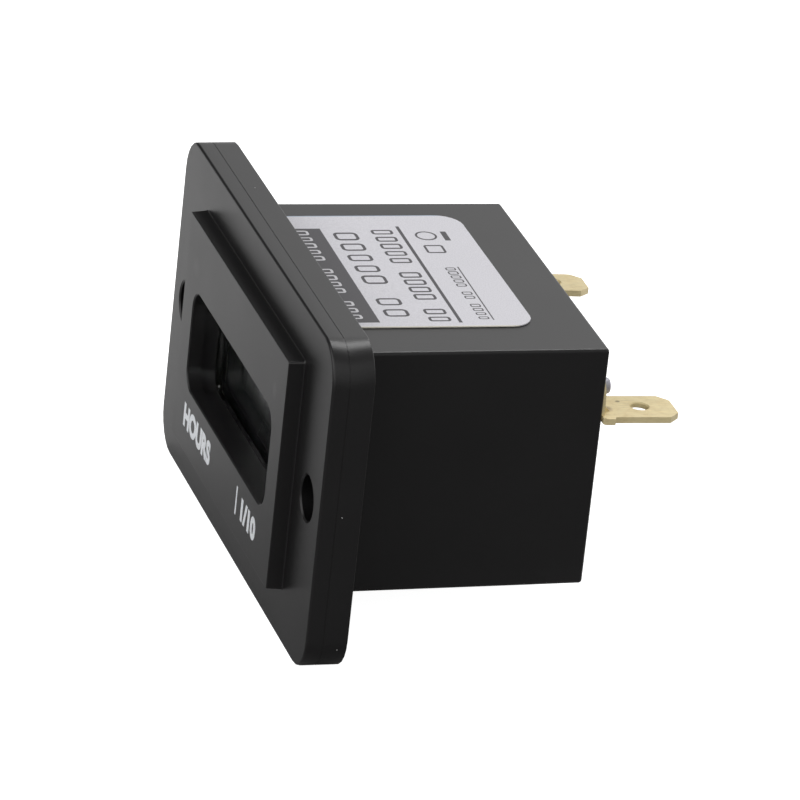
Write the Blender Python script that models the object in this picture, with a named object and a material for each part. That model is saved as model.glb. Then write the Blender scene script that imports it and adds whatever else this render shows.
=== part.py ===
# Panel hour meter: a moulded case and bezel round a liquid crystal display, its two boards and two
# riveted blade terminals. X is right as seen from the front, Y is back through the panel, Z is up.
# The origin lies on the flange's rear face, where the panel touches it, below the case's body.
import math

import bmesh
import bpy
from mathutils import Euler, Matrix, Vector

mm = 0.001
across_parts = 0.3 * mm  # space kept between pieces inside the case
snug_gap = 0.1 * mm  # space under a piece that is pressed or riveted tight
cut_margin = 1.0 * mm  # how far a cutter runs past what it cuts
guide_margin = 0.02 * mm  # keeps a guide's faces off the faces it trims, and least radius of a corner
small_corner = 0.3 * mm  # corners of the display's layers

# Flange, in two halves: the front one belongs to the bezel and the rear one to the case
flange_length = 52.95 * mm
flange_height = 31.9 * mm
flange_corner = 3.7 * mm
flange_edge_round = 0.25 * mm
bezel_flange_depth = 1.53 * mm
case_flange_depth = 2.3 * mm
parting_gap = 0.1 * mm
seat_point_height = 2.0 * mm  # the origin, above the flange's lower edge
hole_inset = 4.25 * mm  # from each end of the flange to the hole's axis
hole_radius = 2.1 * mm
hole_chamfer = 0.15 * mm

# Raised frame and window on the bezel
frame_length = 35.42 * mm
frame_height = 22.42 * mm
frame_rise = 1.53 * mm
frame_corner = 0.2 * mm
frame_edge_round = 0.1 * mm
frame_foot_fillet = 0.15 * mm
frame_draft = 0.1 * mm  # how far each wall leans out to its foot
frame_lift = 0.1 * mm
window_length = 28.6 * mm
window_height = 9.8 * mm
window_corner = 1.9 * mm
window_edge_chamfer = 0.12 * mm
tongue_margin = 1.2 * mm  # the bezel's rear step, wider than the case's cavity on each side
tongue_depth = 1.5 * mm

# Lens and display stack, from front to back
window_lip_depth = 1.38 * mm
window_undercut = 0.4 * mm  # wider opening between the lip and the lens
lens_depth = 3.0 * mm  # from the raised frame's face
pocket_corner = 0.6 * mm
lens_corner = 0.5 * mm
lens_margin = 1.0 * mm
lens_thickness = 1.0 * mm
glass_margin = 0.25 * mm
contact_ledge = 1.5 * mm
glass_cover = 0.4 * mm
glass_thickness = 0.7 * mm
film_thickness = 0.2 * mm
film_margin = 0.4 * mm
holder_wall = 0.5 * mm
holder_corner = 0.5 * mm
holder_depth = 4.4 * mm
holder_peg_radius = 0.4 * mm
peg_root = 0.5 * mm
peg_tip = 0.5 * mm
elastomer_width = 1.0 * mm
elastomer_corner = 0.1 * mm
elastomer_end_margin = 1.0 * mm

# Case behind the panel
body_length = 35.42 * mm
body_height = 23.8 * mm
body_depth = 24.78 * mm
body_taper = 0.18 * mm  # each side at the rear end
body_lift = 0.17 * mm
body_corner = 0.35 * mm
body_edge_round = 0.3 * mm
case_wall = 1.3 * mm
rear_wall = 2.0 * mm
post_width = 1.5 * mm
ledge_width = 1.4 * mm
ledge_height = 4.0 * mm

# Boards and what they carry
board_thickness = 1.0 * mm
board_corner = 0.5 * mm
power_board_setback = 6.0 * mm  # clear depth between the power board and the rear wall
controller_side = 7.0 * mm
controller_height = 1.2 * mm
controller_pins = 5
controller_place = (-6.0 * mm, 0.0)
memory_length = 4.9 * mm
memory_width = 3.9 * mm
memory_height = 1.4 * mm
memory_pins = 4
memory_place = (4.5 * mm, -3.0 * mm)
rim_round = 0.3 * mm  # rims of the round parts
lead_reach = 1.0 * mm
lead_pitch = 1.27 * mm
lead_width = 0.4 * mm
lead_thickness = 0.2 * mm
crystal_radius = 1.0 * mm
crystal_length = 6.0 * mm
crystal_place = (8.0 * mm, 3.4 * mm)
header_pins = 4
header_pitch = 2.0 * mm
header_block = 2.0 * mm
header_pin = 0.5 * mm
header_place = (0.0, -6.3 * mm)
tall_part_clearance = 3.2 * mm  # from the power board's tallest parts to the display board
film_cap_length = 12.0 * mm
film_cap_width = 5.0 * mm
film_cap_place = (-8.5 * mm, 3.6 * mm)
can_radius = 3.15 * mm
can_place = (9.0 * mm, 3.0 * mm)
bridge_size = (7.5 * mm, 2.8 * mm, 5.5 * mm)
bridge_place = (9.5 * mm, -4.3 * mm)
resistor_radius = 1.6 * mm
resistor_length = 8.0 * mm
resistor_waist_radius = 1.4 * mm
resistor_cap_length = 1.5 * mm
resistor_place = (-9.5 * mm, -4.6 * mm)
varistor_radius = 3.0 * mm
varistor_thickness = 3.0 * mm
varistor_round = 0.8 * mm
varistor_place = (1.6 * mm, 3.2 * mm)

# Blade terminals, each bent from strip and riveted to the rear wall
terminal_offset = 14.82 * mm
rivet_height = 7.13 * mm  # above the flange's middle
strip_thickness = 0.6 * mm
leg_width = 4.4 * mm
leg_head_drop = 0.6 * mm  # from the rivet down to where the leg's round head starts
leg_drop = 2.08 * mm  # from the rivet to the blade's upper face
blade_width = 4.8 * mm
blade_reach = 8.02 * mm
shoulder_width = 5.7 * mm
shoulder_start = 0.35 * mm  # from the leg's inner face, clear of the wall
shoulder_end = 1.55 * mm
shoulder_lift = 0.1 * mm  # how far it rises over the blade at the bend
shoulder_slope = 0.15 * mm
blade_tip_chamfer = 1.0 * mm
blade_droop = math.radians(1.2)
bend_inner_radius = 0.15 * mm
eye_radius = 0.84 * mm
eye_chamfer = 0.12 * mm
eye_reach = 4.72 * mm
eye_shift = -0.15 * mm
left_terminal_roll = math.radians(3.8)  # how far the left one was twisted as it was riveted
left_terminal_yaw = math.radians(-3.5)
left_terminal_lift = 0.15 * mm  # off the wall, which its twist calls for
seat_depth = 0.35 * mm  # recess in the wall that keeps a leg from turning
seat_margin = 0.1 * mm
seat_corner = 0.9 * mm
gusset_width = 2.1 * mm
gusset_size = 1.0 * mm
gusset_sink = 0.05 * mm  # how deep its root goes into the strip
rivet_head_radius = 0.75 * mm
rivet_head_height = 0.82 * mm
rivet_head_round = 0.25 * mm
rivet_shank_radius = 0.45 * mm
rivet_flare = 0.35 * mm
rivet_flare_rim = 0.23 * mm  # length of the flare's full round
rivet_clearance = 0.1 * mm
lug_thickness = 0.4 * mm
lug_radius = 1.2 * mm
lug_tail_width = 1.6 * mm
lug_tail = 3.2 * mm
wire_radius = 0.55 * mm
wire_pad_inset = 5.0 * mm
wire_bow = 0.65  # how far its ends run straight, of the way to the corner

# Label on the case's top
label_length = 26.3 * mm
label_corner = 2.3 * mm
label_thickness = 0.1 * mm
label_shift = -0.95 * mm
label_setback = 5.4 * mm  # from the rear end of the case to the label's edge
label_front_margin = 0.7 * mm  # from the flange to the label's front edge
label_gap = 0.04 * mm

corner_segments = 6
large_hole_segments = 40
small_hole_segments = 24
round_part_segments = 28
peg_segments = 16
edge_segments = 3
bend_steps = 6
leg_head_steps = 16
lug_steps = 20
wire_steps = 12

# Places worked out from the sizes above
middle_z = flange_height / 2 - seat_point_height
parting_back = -case_flange_depth
parting_front = parting_back - parting_gap
flange_front = parting_front - bezel_flange_depth
face_y = flange_front - frame_rise
window_floor = face_y + window_lip_depth
lens_front = face_y + lens_depth
lens_seat = lens_front - snug_gap
lens_back = lens_front + lens_thickness
tongue_back = parting_front + tongue_depth
body_middle = middle_z + body_lift
cavity_length = body_length - 2 * case_wall
cavity_height = body_height - 2 * case_wall
cavity_floor = body_depth - rear_wall
tongue_length = cavity_length + 2 * tongue_margin
tongue_height = cavity_height + 2 * tongue_margin
glass_length = window_length + 2 * glass_margin
front_glass_height = window_height + 2 * (glass_cover + contact_ledge)
rear_glass_height = window_height + 2 * glass_cover
holder_bore_length = glass_length + across_parts
holder_bore_height = front_glass_height + across_parts
holder_length = holder_bore_length + 2 * holder_wall
holder_height = holder_bore_height + 2 * holder_wall
front_film_front = lens_back + across_parts
front_glass_front = front_film_front + film_thickness + snug_gap
rear_glass_front = front_glass_front + glass_thickness + snug_gap
rear_film_front = rear_glass_front + glass_thickness + snug_gap
holder_front = lens_back + across_parts
holder_back = holder_front + holder_depth
display_board_front = holder_back + snug_gap
display_board_back = display_board_front + board_thickness
board_length = cavity_length - 2 * (body_taper + across_parts)
display_board_height = cavity_height - 2 * (body_taper + across_parts)
power_board_back = cavity_floor - power_board_setback
power_board_front = power_board_back - board_thickness
power_board_height = display_board_height - 2 * post_width
tall_part_height = power_board_front - display_board_back - tall_part_clearance
label_width = body_depth - label_setback - label_front_margin
rivet_z = middle_z + rivet_height


def clear_scene():
    for old in list(bpy.data.objects):
        bpy.data.objects.remove(old, do_unlink=True)


def material(name, color, roughness, metallic=0.0, transmission=0.0):
    made = bpy.data.materials.get(name) or bpy.data.materials.new(name)
    made.use_nodes = True
    shader = made.node_tree.nodes["Principled BSDF"]
    shader.inputs["Base Color"].default_value = (*color, 1.0)
    shader.inputs["Roughness"].default_value = roughness
    shader.inputs["Metallic"].default_value = metallic
    shader.inputs["Transmission Weight"].default_value = transmission
    return made


def add_object(name, mesh, finish=None, smooth=True):
    if smooth:
        mesh.shade_smooth()
        mesh.set_sharp_from_angle(angle=math.radians(32))
    made = bpy.data.objects.new(name, mesh)
    bpy.context.scene.collection.objects.link(made)
    if finish:
        mesh.materials.append(finish)
    return made


def finish_mesh(name, work):
    bmesh.ops.recalc_face_normals(work, faces=work.faces)
    if work.calc_volume(signed=True) < 0:
        bmesh.ops.reverse_faces(work, faces=work.faces)
    mesh = bpy.data.meshes.new(name)
    work.to_mesh(mesh)
    work.free()
    return mesh


def combine(target, tool, operation):
    """Adds a Boolean with a hidden guide object to a piece."""
    tool.hide_render = True
    tool.display_type = "WIRE"
    cut = target.modifiers.new(tool.name, "BOOLEAN")
    cut.operation = operation
    cut.solver = "EXACT"
    cut.object = tool


def rounded_outline(length, height, corner):
    """Points of a rounded rectangle about the origin, anticlockwise."""
    points = []
    for quarter in range(4):
        side = 1 if quarter in (0, 3) else -1
        rise = 1 if quarter < 2 else -1
        for step in range(corner_segments + 1):
            angle = math.pi / 2 * (quarter + step / corner_segments)
            points.append((
                side * (length / 2 - corner) + corner * math.cos(angle),
                rise * (height / 2 - corner) + corner * math.sin(angle)))
    return points


def section(y, length, height, corner, center=(0.0, middle_z)):
    outline = rounded_outline(length, height, corner)
    return [Vector((center[0] + x, y, center[1] + z)) for x, z in outline]


def round_edge(y, length, height, corner, radius, center, way, hollow=False):
    """Sections that turn from a side wall onto a flat face at y.

    way is +1 where the wall runs to greater y. A hollow edge is a fillet at a wall's foot.
    """
    sections = []
    for step in range(edge_segments + 1):
        angle = math.pi / 2 * step / edge_segments
        if hollow:
            inset = -radius * (1 - math.sin(angle))
            rise = radius * (1 - math.cos(angle))
        else:
            inset = radius * (1 - math.cos(angle))
            rise = radius * (1 - math.sin(angle))
        sections.append(section(
            y + way * rise, length - 2 * inset, height - 2 * inset,
            max(corner - inset, guide_margin), center))
    return sections


def loft(name, sections, closed=False):
    """Skins outlines of equal count, as a ring or as a solid with two flat ends."""
    work = bmesh.new()
    rings = [[work.verts.new(point) for point in outline] for outline in sections]
    pairs = list(zip(rings, rings[1:]))
    if closed:
        pairs.append((rings[-1], rings[0]))
    else:
        work.faces.new(rings[0])
        work.faces.new(rings[-1])
    for one, other in pairs:
        count = len(one)
        for index in range(count):
            after = (index + 1) % count
            work.faces.new((one[index], one[after], other[after], other[index]))
    return finish_mesh(name, work)


def plate(name, points, start, end, axis="Y"):
    """A flat outline pushed from start to end along an axis."""
    order = {
        "X": lambda a, b, along: (along, a, b),
        "Y": lambda a, b, along: (a, along, b),
        "Z": lambda a, b, along: (a, b, along)}[axis]
    return loft(name, [[Vector(order(a, b, along)) for a, b in points] for along in (start, end)])


def block(name, low, high):
    outline = [(low[0], low[2]), (high[0], low[2]), (high[0], high[2]), (low[0], high[2])]
    return plate(name, outline, low[1], high[1])


def turned(name, profile, segments=32):
    """Spins (radius, y) points about the Y axis. A radius of zero closes an end."""
    work = bmesh.new()
    rings = []
    for radius, y in profile:
        if radius == 0:
            rings.append([work.verts.new((0, y, 0))])
            continue
        rings.append([
            work.verts.new((
                radius * math.cos(2 * math.pi * k / segments), y,
                radius * math.sin(2 * math.pi * k / segments)))
            for k in range(segments)])
    for one, other in zip(rings, rings[1:]):
        for k in range(segments):
            after = (k + 1) % segments
            corners = [one[k % len(one)], one[after % len(one)]]
            corners += [other[after % len(other)], other[k % len(other)]]
            work.faces.new(list(dict.fromkeys(corners)))
    return finish_mesh(name, work)


def placed(made, location, roll=0.0, yaw=0.0):
    made.location = location
    made.rotation_euler = (0.0, roll, yaw)
    return made


def rod(radius, start, end):
    """Profile of a plain cylinder for turned."""
    return [(0, start), (radius, start), (radius, end), (0, end)]


def rounded_rod(radius, start, end, edge):
    """Profile of a cylinder whose two ends have a bevelled rim."""
    return [
        (0, start), (radius - edge, start), (radius, start + edge),
        (radius, end - edge), (radius - edge, end), (0, end)]


def lay_along_x(made, x, y, z):
    made.rotation_euler = (0.0, 0.0, math.pi / 2)
    made.location = (x, y, z)


def cut_screw_holes(target, front, back, chamfer_at_front):
    """Bores both screw holes through one half of the flange, with a chamfer at its outer face."""
    wide = hole_radius + hole_chamfer + cut_margin
    start, end = front - cut_margin, back + cut_margin
    if chamfer_at_front:
        rims = [(wide, start), (hole_radius, front + hole_chamfer), (hole_radius, end)]
    else:
        rims = [(hole_radius, start), (hole_radius, back - hole_chamfer), (wide, end)]
    profile = [(0, start), *rims, (0, end)]
    for word, side in (("left", -1), ("right", 1)):
        name = f"{target.name}_{word}_hole_cutter"
        cutter = add_object(name, turned(name, profile, large_hole_segments))
        combine(target, placed(cutter, (side * (flange_length / 2 - hole_inset), 0, middle_z)), "DIFFERENCE")


def build_front_bezel(black):
    flange = (flange_length, flange_height, flange_corner)
    frame_center = (0.0, middle_z + frame_lift)
    window_center = (0.0, middle_z)
    pocket_margin = lens_margin + snug_gap
    lens_pocket = [window_length + 2 * pocket_margin, window_height + 2 * pocket_margin]
    undercut = [window_length + 2 * window_undercut, window_height + 2 * window_undercut]
    holder_pocket = [holder_length + across_parts, holder_height + across_parts]
    wide_frame = (frame_length + 2 * frame_draft, frame_height + 2 * frame_draft)
    foot = round_edge(
        flange_front, *wide_frame, frame_corner + frame_draft, frame_foot_fillet, frame_center, -1, True)
    window_rim = [
        section(face_y, window_length + 2 * window_edge_chamfer, window_height + 2 * window_edge_chamfer,
                window_corner + window_edge_chamfer, window_center),
        section(face_y + window_edge_chamfer, window_length, window_height, window_corner, window_center)]
    sections = [section(parting_front, *flange)]
    sections += round_edge(flange_front, *flange, flange_edge_round, (0.0, middle_z), 1)
    sections += foot
    sections += round_edge(
        face_y, frame_length, frame_height, frame_corner, frame_edge_round, frame_center, 1)
    sections += window_rim
    sections += [
        section(window_floor, window_length, window_height, window_corner, window_center),
        section(window_floor, *undercut, window_corner, window_center),
        section(lens_seat, *undercut, window_corner, window_center),
        section(lens_seat, *lens_pocket, pocket_corner, window_center),
        section(holder_front - snug_gap, *lens_pocket, pocket_corner, window_center),
        section(holder_front - snug_gap, *holder_pocket, pocket_corner, window_center),
        section(tongue_back, *holder_pocket, pocket_corner, window_center),
        section(tongue_back, tongue_length, tongue_height, body_corner, (0.0, body_middle)),
        section(parting_front, tongue_length, tongue_height, body_corner, (0.0, body_middle))]
    bezel = add_object("front_bezel", loft("front_bezel", sections, closed=True), black)
    cut_screw_holes(bezel, flange_front, parting_front, True)


def build_rear_case(black):
    center = (0.0, body_middle)
    flange = (flange_length, flange_height, flange_corner)
    rebate = (tongue_length + 2 * across_parts, tongue_height + 2 * across_parts, body_corner)
    rear_size = (body_length - 2 * body_taper, body_height - 2 * body_taper, body_corner)
    rebate_floor = tongue_back + across_parts
    sections = [
        section(cavity_floor, cavity_length - 2 * body_taper, cavity_height - 2 * body_taper,
                body_corner, center),
        section(rebate_floor, cavity_length, cavity_height, body_corner, center),
        section(rebate_floor, *rebate, center),
        section(parting_back, *rebate, center),
        section(parting_back, *flange)]
    sections += round_edge(0.0, *flange, flange_edge_round / 2, (0.0, middle_z), -1)
    sections.append(section(0.0, body_length, body_height, body_corner, center))
    sections += round_edge(body_depth, *rear_size, body_edge_round, center, -1)
    case = add_object("rear_case", loft("rear_case", sections), black)
    cut_screw_holes(case, parting_back, 0.0, False)
    sink = case_wall / 2
    half_length = cavity_length / 2
    half_height = cavity_height / 2
    post_front = display_board_back + across_parts
    ledge_front = power_board_back + across_parts
    supports = []
    for word, side in (("left", -1), ("right", 1)):
        for level, rise in (("lower", -1), ("upper", 1)):
            inner_x = side * (half_length - body_taper - post_width)
            inner_z = body_middle + rise * (half_height - body_taper - post_width)
            outer_x = side * (half_length + sink)
            outer_z = body_middle + rise * (half_height + sink)
            low = (min(inner_x, outer_x), post_front, min(inner_z, outer_z))
            high = (max(inner_x, outer_x), cavity_floor + rear_wall / 2, max(inner_z, outer_z))
            supports.append((f"case_{level}_{word}_post", low, high))
        inner_x = side * (half_length - body_taper - ledge_width)
        outer_x = side * (half_length + sink)
        low = (min(inner_x, outer_x), ledge_front, body_middle - ledge_height / 2)
        high = (max(inner_x, outer_x), cavity_floor + rear_wall / 2, body_middle + ledge_height / 2)
        supports.append((f"case_{word}_ledge", low, high))
    for name, low, high in supports:
        combine(case, add_object(name, block(name, low, high)), "UNION")
    bore = rivet_shank_radius + rivet_clearance
    seat_top = leg_width / 2 - leg_head_drop + seat_margin
    seat_foot = -leg_drop - strip_thickness - seat_margin - snug_gap
    seat_height = seat_top - seat_foot
    seat_center = (seat_top + seat_foot) / 2
    for word, side in (("left", -1), ("right", 1)):
        name = f"case_{word}_seat_cutter"
        outline = rounded_outline(leg_width + 2 * seat_margin, seat_height, seat_corner)
        recess = add_object(name, plate(name, outline, body_depth - seat_depth, body_depth + cut_margin))
        combine(case, placed(recess, (side * terminal_offset, 0, rivet_z + seat_center)), "DIFFERENCE")
        name = f"case_{word}_rivet_cutter"
        profile = rod(bore, cavity_floor - cut_margin, body_depth + cut_margin)
        cutter = add_object(name, turned(name, profile, small_hole_segments))
        combine(case, placed(cutter, (side * terminal_offset, 0, rivet_z)), "DIFFERENCE")


def build_flat_layer(name, front, thickness, length, height, corner, finish, center=None):
    center = center or (0.0, middle_z)
    sections = [section(y, length, height, corner, center) for y in (front, front + thickness)]
    return add_object(name, loft(name, sections), finish)


def build_display(clear, glass, film, holder_plastic, elastomer):
    lens_size = (window_length + 2 * lens_margin, window_height + 2 * lens_margin)
    build_flat_layer("window_lens", lens_front, lens_thickness, *lens_size, lens_corner, clear)
    film_length = glass_length - 2 * film_margin
    front_film_height = front_glass_height - 2 * film_margin
    rear_film_height = rear_glass_height - 2 * film_margin
    for name, front, thickness, length, height, finish in (
            ("lcd_front_film", front_film_front, film_thickness, film_length, front_film_height, film),
            ("lcd_front_glass", front_glass_front, glass_thickness, glass_length, front_glass_height, glass),
            ("lcd_rear_glass", rear_glass_front, glass_thickness, glass_length, rear_glass_height, glass),
            ("lcd_rear_film", rear_film_front, film_thickness, film_length, rear_film_height, film)):
        build_flat_layer(name, front, thickness, length, height, small_corner, finish)
    center = (0.0, middle_z)
    outer = (holder_length, holder_height, holder_corner, center)
    bore = (holder_bore_length, holder_bore_height, small_corner, center)
    rings = [section(holder_front, *outer), section(holder_back, *outer)]
    rings += [section(holder_back, *bore), section(holder_front, *bore)]
    holder = add_object("lcd_holder", loft("lcd_holder", rings, closed=True), holder_plastic)
    for word, side in (("left", -1), ("right", 1)):
        name = f"holder_{word}_peg"
        profile = rod(holder_peg_radius, holder_back - peg_root, display_board_back + peg_tip)
        peg = add_object(name, turned(name, profile, peg_segments))
        combine(holder, placed(peg, peg_place(side)), "UNION")
    strip_back = display_board_front - snug_gap
    strip_front = front_glass_front + glass_thickness + snug_gap
    strip_length = glass_length - 2 * elastomer_end_margin
    strip_rise = (rear_glass_height + front_glass_height) / 4
    for word, rise in (("upper", 1), ("lower", -1)):
        build_flat_layer(
            f"{word}_elastomer", strip_front, strip_back - strip_front, strip_length, elastomer_width,
            elastomer_corner, elastomer, (0.0, middle_z + rise * strip_rise))


def peg_place(side):
    """A peg stands on the holder's wall, at two opposite corners."""
    reach_x = (holder_length - holder_wall) / 2 - holder_peg_radius
    reach_z = (holder_height - holder_wall) / 2
    return (side * reach_x, 0.0, middle_z + side * reach_z)


def build_boards(laminate):
    center = (0.0, body_middle)
    display = build_flat_layer(
        "display_board", display_board_front, board_thickness, board_length, display_board_height,
        board_corner, laminate, center)
    bore = holder_peg_radius + snug_gap
    for word, side in (("left", -1), ("right", 1)):
        name = f"display_board_{word}_peg_cutter"
        profile = rod(bore, display_board_front - cut_margin, display_board_back + cut_margin)
        cutter = add_object(name, turned(name, profile, peg_segments))
        combine(display, placed(cutter, peg_place(side)), "DIFFERENCE")
    build_flat_layer(
        "power_board", power_board_front, board_thickness, board_length, power_board_height,
        board_corner, laminate, center)


def board_block(name, place, size, seat, way, finish):
    """A box component whose foot is on a board's face at seat, standing towards way."""
    start = seat + way * snug_gap
    end = start + way * size[1]
    low = (place[0] - size[0] / 2, min(start, end), body_middle + place[1] - size[2] / 2)
    high = (place[0] + size[0] / 2, max(start, end), body_middle + place[1] + size[2] / 2)
    return add_object(name, block(name, low, high), finish)


def add_chip_leads(chip, place, body_width, pins, seat):
    """Joins rows of flat leads to a chip, each bar running through its body."""
    near = seat + 2 * snug_gap
    for pin in range(pins):
        name = f"{chip.name}_lead_{pin + 1}"
        x = place[0] + (pin - (pins - 1) / 2) * lead_pitch
        reach = body_width / 2 + lead_reach
        low = (x - lead_width / 2, near, body_middle + place[1] - reach)
        high = (x + lead_width / 2, near + lead_thickness, body_middle + place[1] + reach)
        combine(chip, add_object(name, block(name, low, high)), "UNION")


def build_display_board_parts(resin, steel):
    seat = display_board_back
    controller = board_block(
        "controller_chip", controller_place, (controller_side, controller_height, controller_side),
        seat, 1, resin)
    add_chip_leads(controller, controller_place, controller_side, controller_pins, seat)
    memory = board_block(
        "memory_chip", memory_place, (memory_length, memory_height, memory_width), seat, 1, resin)
    add_chip_leads(memory, memory_place, memory_width, memory_pins, seat)
    can = rounded_rod(crystal_radius, -crystal_length / 2, crystal_length / 2, rim_round)
    crystal = add_object("quartz_crystal", turned("quartz_crystal", can, small_hole_segments), steel)
    lay_along_x(
        crystal, crystal_place[0], seat + snug_gap + crystal_radius, body_middle + crystal_place[1])


def build_power_board_parts(resin, film_case, can_metal, ceramic, varistor_coat):
    seat = power_board_front
    film_cap_size = (film_cap_length, tall_part_height, film_cap_width)
    board_block("dropper_capacitor", film_cap_place, film_cap_size, seat, -1, film_case)
    board_block("bridge_rectifier", bridge_place, bridge_size, seat, -1, resin)
    foot = seat - snug_gap
    profile = rounded_rod(can_radius, foot - tall_part_height, foot, rim_round)
    can = add_object("smoothing_capacitor", turned("smoothing_capacitor", profile), can_metal)
    placed(can, (can_place[0], 0, body_middle + can_place[1]))
    half = resistor_length / 2
    waist_end = half - resistor_cap_length
    shoulder = waist_end + resistor_radius - resistor_waist_radius
    barrel = [(0, -half), (resistor_radius - rim_round, -half), (resistor_radius, -half + rim_round)]
    barrel += [(resistor_radius, -shoulder), (resistor_waist_radius, -waist_end)]
    barrel += [(resistor_waist_radius, waist_end), (resistor_radius, shoulder)]
    barrel += [(resistor_radius, half - rim_round), (resistor_radius - rim_round, half), (0, half)]
    resistor = add_object(
        "fusible_resistor", turned("fusible_resistor", barrel, round_part_segments), ceramic)
    lay_along_x(
        resistor, resistor_place[0], foot - resistor_radius, body_middle + resistor_place[1])
    disc = rounded_rod(varistor_radius, -varistor_thickness / 2, varistor_thickness / 2, varistor_round)
    varistor = add_object(
        "surge_varistor", turned("surge_varistor", disc, round_part_segments), varistor_coat)
    lay_along_x(
        varistor, varistor_place[0], foot - varistor_radius, body_middle + varistor_place[1])


def build_board_header(resin):
    """Pins that carry power and pulses between the two boards, held in one moulded strip."""
    back = power_board_front - snug_gap
    front = display_board_back + snug_gap
    x, z = header_place[0], body_middle + header_place[1]
    half = header_pins * header_pitch / 2
    low = (x - half, back - header_block, z - header_block / 2)
    high = (x + half, back, z + header_block / 2)
    header = add_object("board_header", block("board_header", low, high), resin)
    for pin in range(header_pins):
        name = f"header_pin_{pin + 1}"
        pin_x = x + (pin - (header_pins - 1) / 2) * header_pitch
        pin_low = (pin_x - header_pin / 2, front, z - header_pin / 2)
        pin_high = (pin_x + header_pin / 2, back - header_block / 2, z + header_pin / 2)
        combine(header, add_object(name, block(name, pin_low, pin_high)), "UNION")


def strip_profile():
    """The bent strip's side view as (y, z) points about the rivet, the leg against the wall."""
    half = strip_thickness / 2
    middle_radius = bend_inner_radius + half
    bend_z = -leg_drop + bend_inner_radius
    turn = math.pi / 2 - blade_droop
    path = [(half, leg_width / 2, (0.0, -1.0))]
    for step in range(bend_steps + 1):
        angle = turn * step / bend_steps
        y = half + middle_radius * (1 - math.cos(angle))
        z = bend_z - middle_radius * math.sin(angle)
        path.append((y, z, (math.sin(angle), -math.cos(angle))))
    y, z, way = path[-1]
    run = (blade_reach + guide_margin - y) / way[0]
    path.append((y + run * way[0], z + run * way[1], way))
    outer = [(y - way[1] * half, z + way[0] * half) for y, z, way in path]
    inner = [(y + way[1] * half, z - way[0] * half) for y, z, way in path]
    return outer + inner[::-1]


def blade_plan():
    """The terminal's outline from above as (x, y) points: leg, shoulder, then blade with clipped corners."""
    half_leg, half_shoulder, half_blade = leg_width / 2, shoulder_width / 2, blade_width / 2
    right = [
        (half_leg, -cut_margin), (half_leg, shoulder_start), (half_shoulder, shoulder_start),
        (half_shoulder, shoulder_end), (half_blade, shoulder_end + shoulder_slope),
        (half_blade, blade_reach - blade_tip_chamfer), (half_blade - blade_tip_chamfer, blade_reach)]
    return right + [(-x, y) for x, y in reversed(right)]


def leg_front():
    """The terminal's outline from behind as (x, z) points: a round head about the rivet."""
    half = leg_width / 2
    near = half + guide_margin
    wide = shoulder_width / 2 + guide_margin
    foot = -leg_drop - strip_thickness - cut_margin
    rise = -leg_drop + shoulder_lift
    outline = [(wide, foot), (wide, rise), (near, rise), (near, -leg_head_drop)]
    for step in range(1, leg_head_steps):
        angle = math.pi * step / leg_head_steps
        outline.append((half * math.cos(angle), half * math.sin(angle) - leg_head_drop))
    return outline + [(-near, -leg_head_drop), (-near, rise), (-wide, rise), (-wide, foot)]


def build_terminal(word, side, roll, yaw, lift, brass):
    name = f"{word}_terminal"
    stance = ((side * terminal_offset, body_depth + snug_gap + lift, rivet_z), roll, yaw)
    reach_x = shoulder_width / 2 + cut_margin
    strip = add_object(name, plate(name, strip_profile(), -reach_x, reach_x, axis="X"), brass)
    below = -leg_drop - strip_thickness - cut_margin
    plan = plate(f"{word}_blade_guide", blade_plan(), below, leg_width, axis="Z")
    head = plate(f"{word}_leg_guide", leg_front(), -cut_margin, blade_reach + cut_margin)
    rivet_hole = rod(rivet_shank_radius + rivet_clearance, -cut_margin, strip_thickness + cut_margin)
    bore = turned(f"{word}_rivet_bore", rivet_hole, small_hole_segments)
    gusset_y = strip_thickness - gusset_sink
    gusset_z = -leg_drop - gusset_sink
    gusset_points = [
        (gusset_y, gusset_z), (gusset_y + gusset_size, gusset_z), (gusset_y, gusset_z + gusset_size)]
    gusset = plate(f"{word}_gusset", gusset_points, -gusset_width / 2, gusset_width / 2, axis="X")
    tools = [
        (add_object(f"{word}_blade_guide", plan), "INTERSECT"),
        (add_object(f"{word}_leg_guide", head), "INTERSECT"),
        (add_object(f"{word}_rivet_bore", bore), "DIFFERENCE"),
        (add_object(f"{word}_gusset", gusset), "UNION")]
    for tool, operation in tools:
        combine(strip, placed(tool, *stance), operation)
    cutter = add_object(
        f"{word}_eye_cutter", turned(f"{word}_eye_cutter", eye_profile(), round_part_segments))
    placed(strip, *stance)
    stand = Matrix.Translation(stance[0]) @ Euler((0.0, roll, yaw)).to_matrix().to_4x4()
    eye_z = -leg_drop - strip_thickness / 2 - (eye_reach - strip_thickness) * math.tan(blade_droop)
    tilt = Matrix.Rotation(math.pi / 2 - blade_droop, 4, "X")
    cutter.matrix_world = stand @ Matrix.Translation((eye_shift, eye_reach, eye_z)) @ tilt
    combine(strip, cutter, "DIFFERENCE")


def eye_profile():
    """The blade's eye, chamfered on both faces, about the middle of the strip's thickness."""
    half = strip_thickness / 2
    narrow = half - eye_chamfer
    wide = eye_radius + cut_margin - narrow
    return [
        (0, -cut_margin), (wide, -cut_margin), (eye_radius, -narrow),
        (eye_radius, narrow), (wide, cut_margin), (0, cut_margin)]


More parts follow.
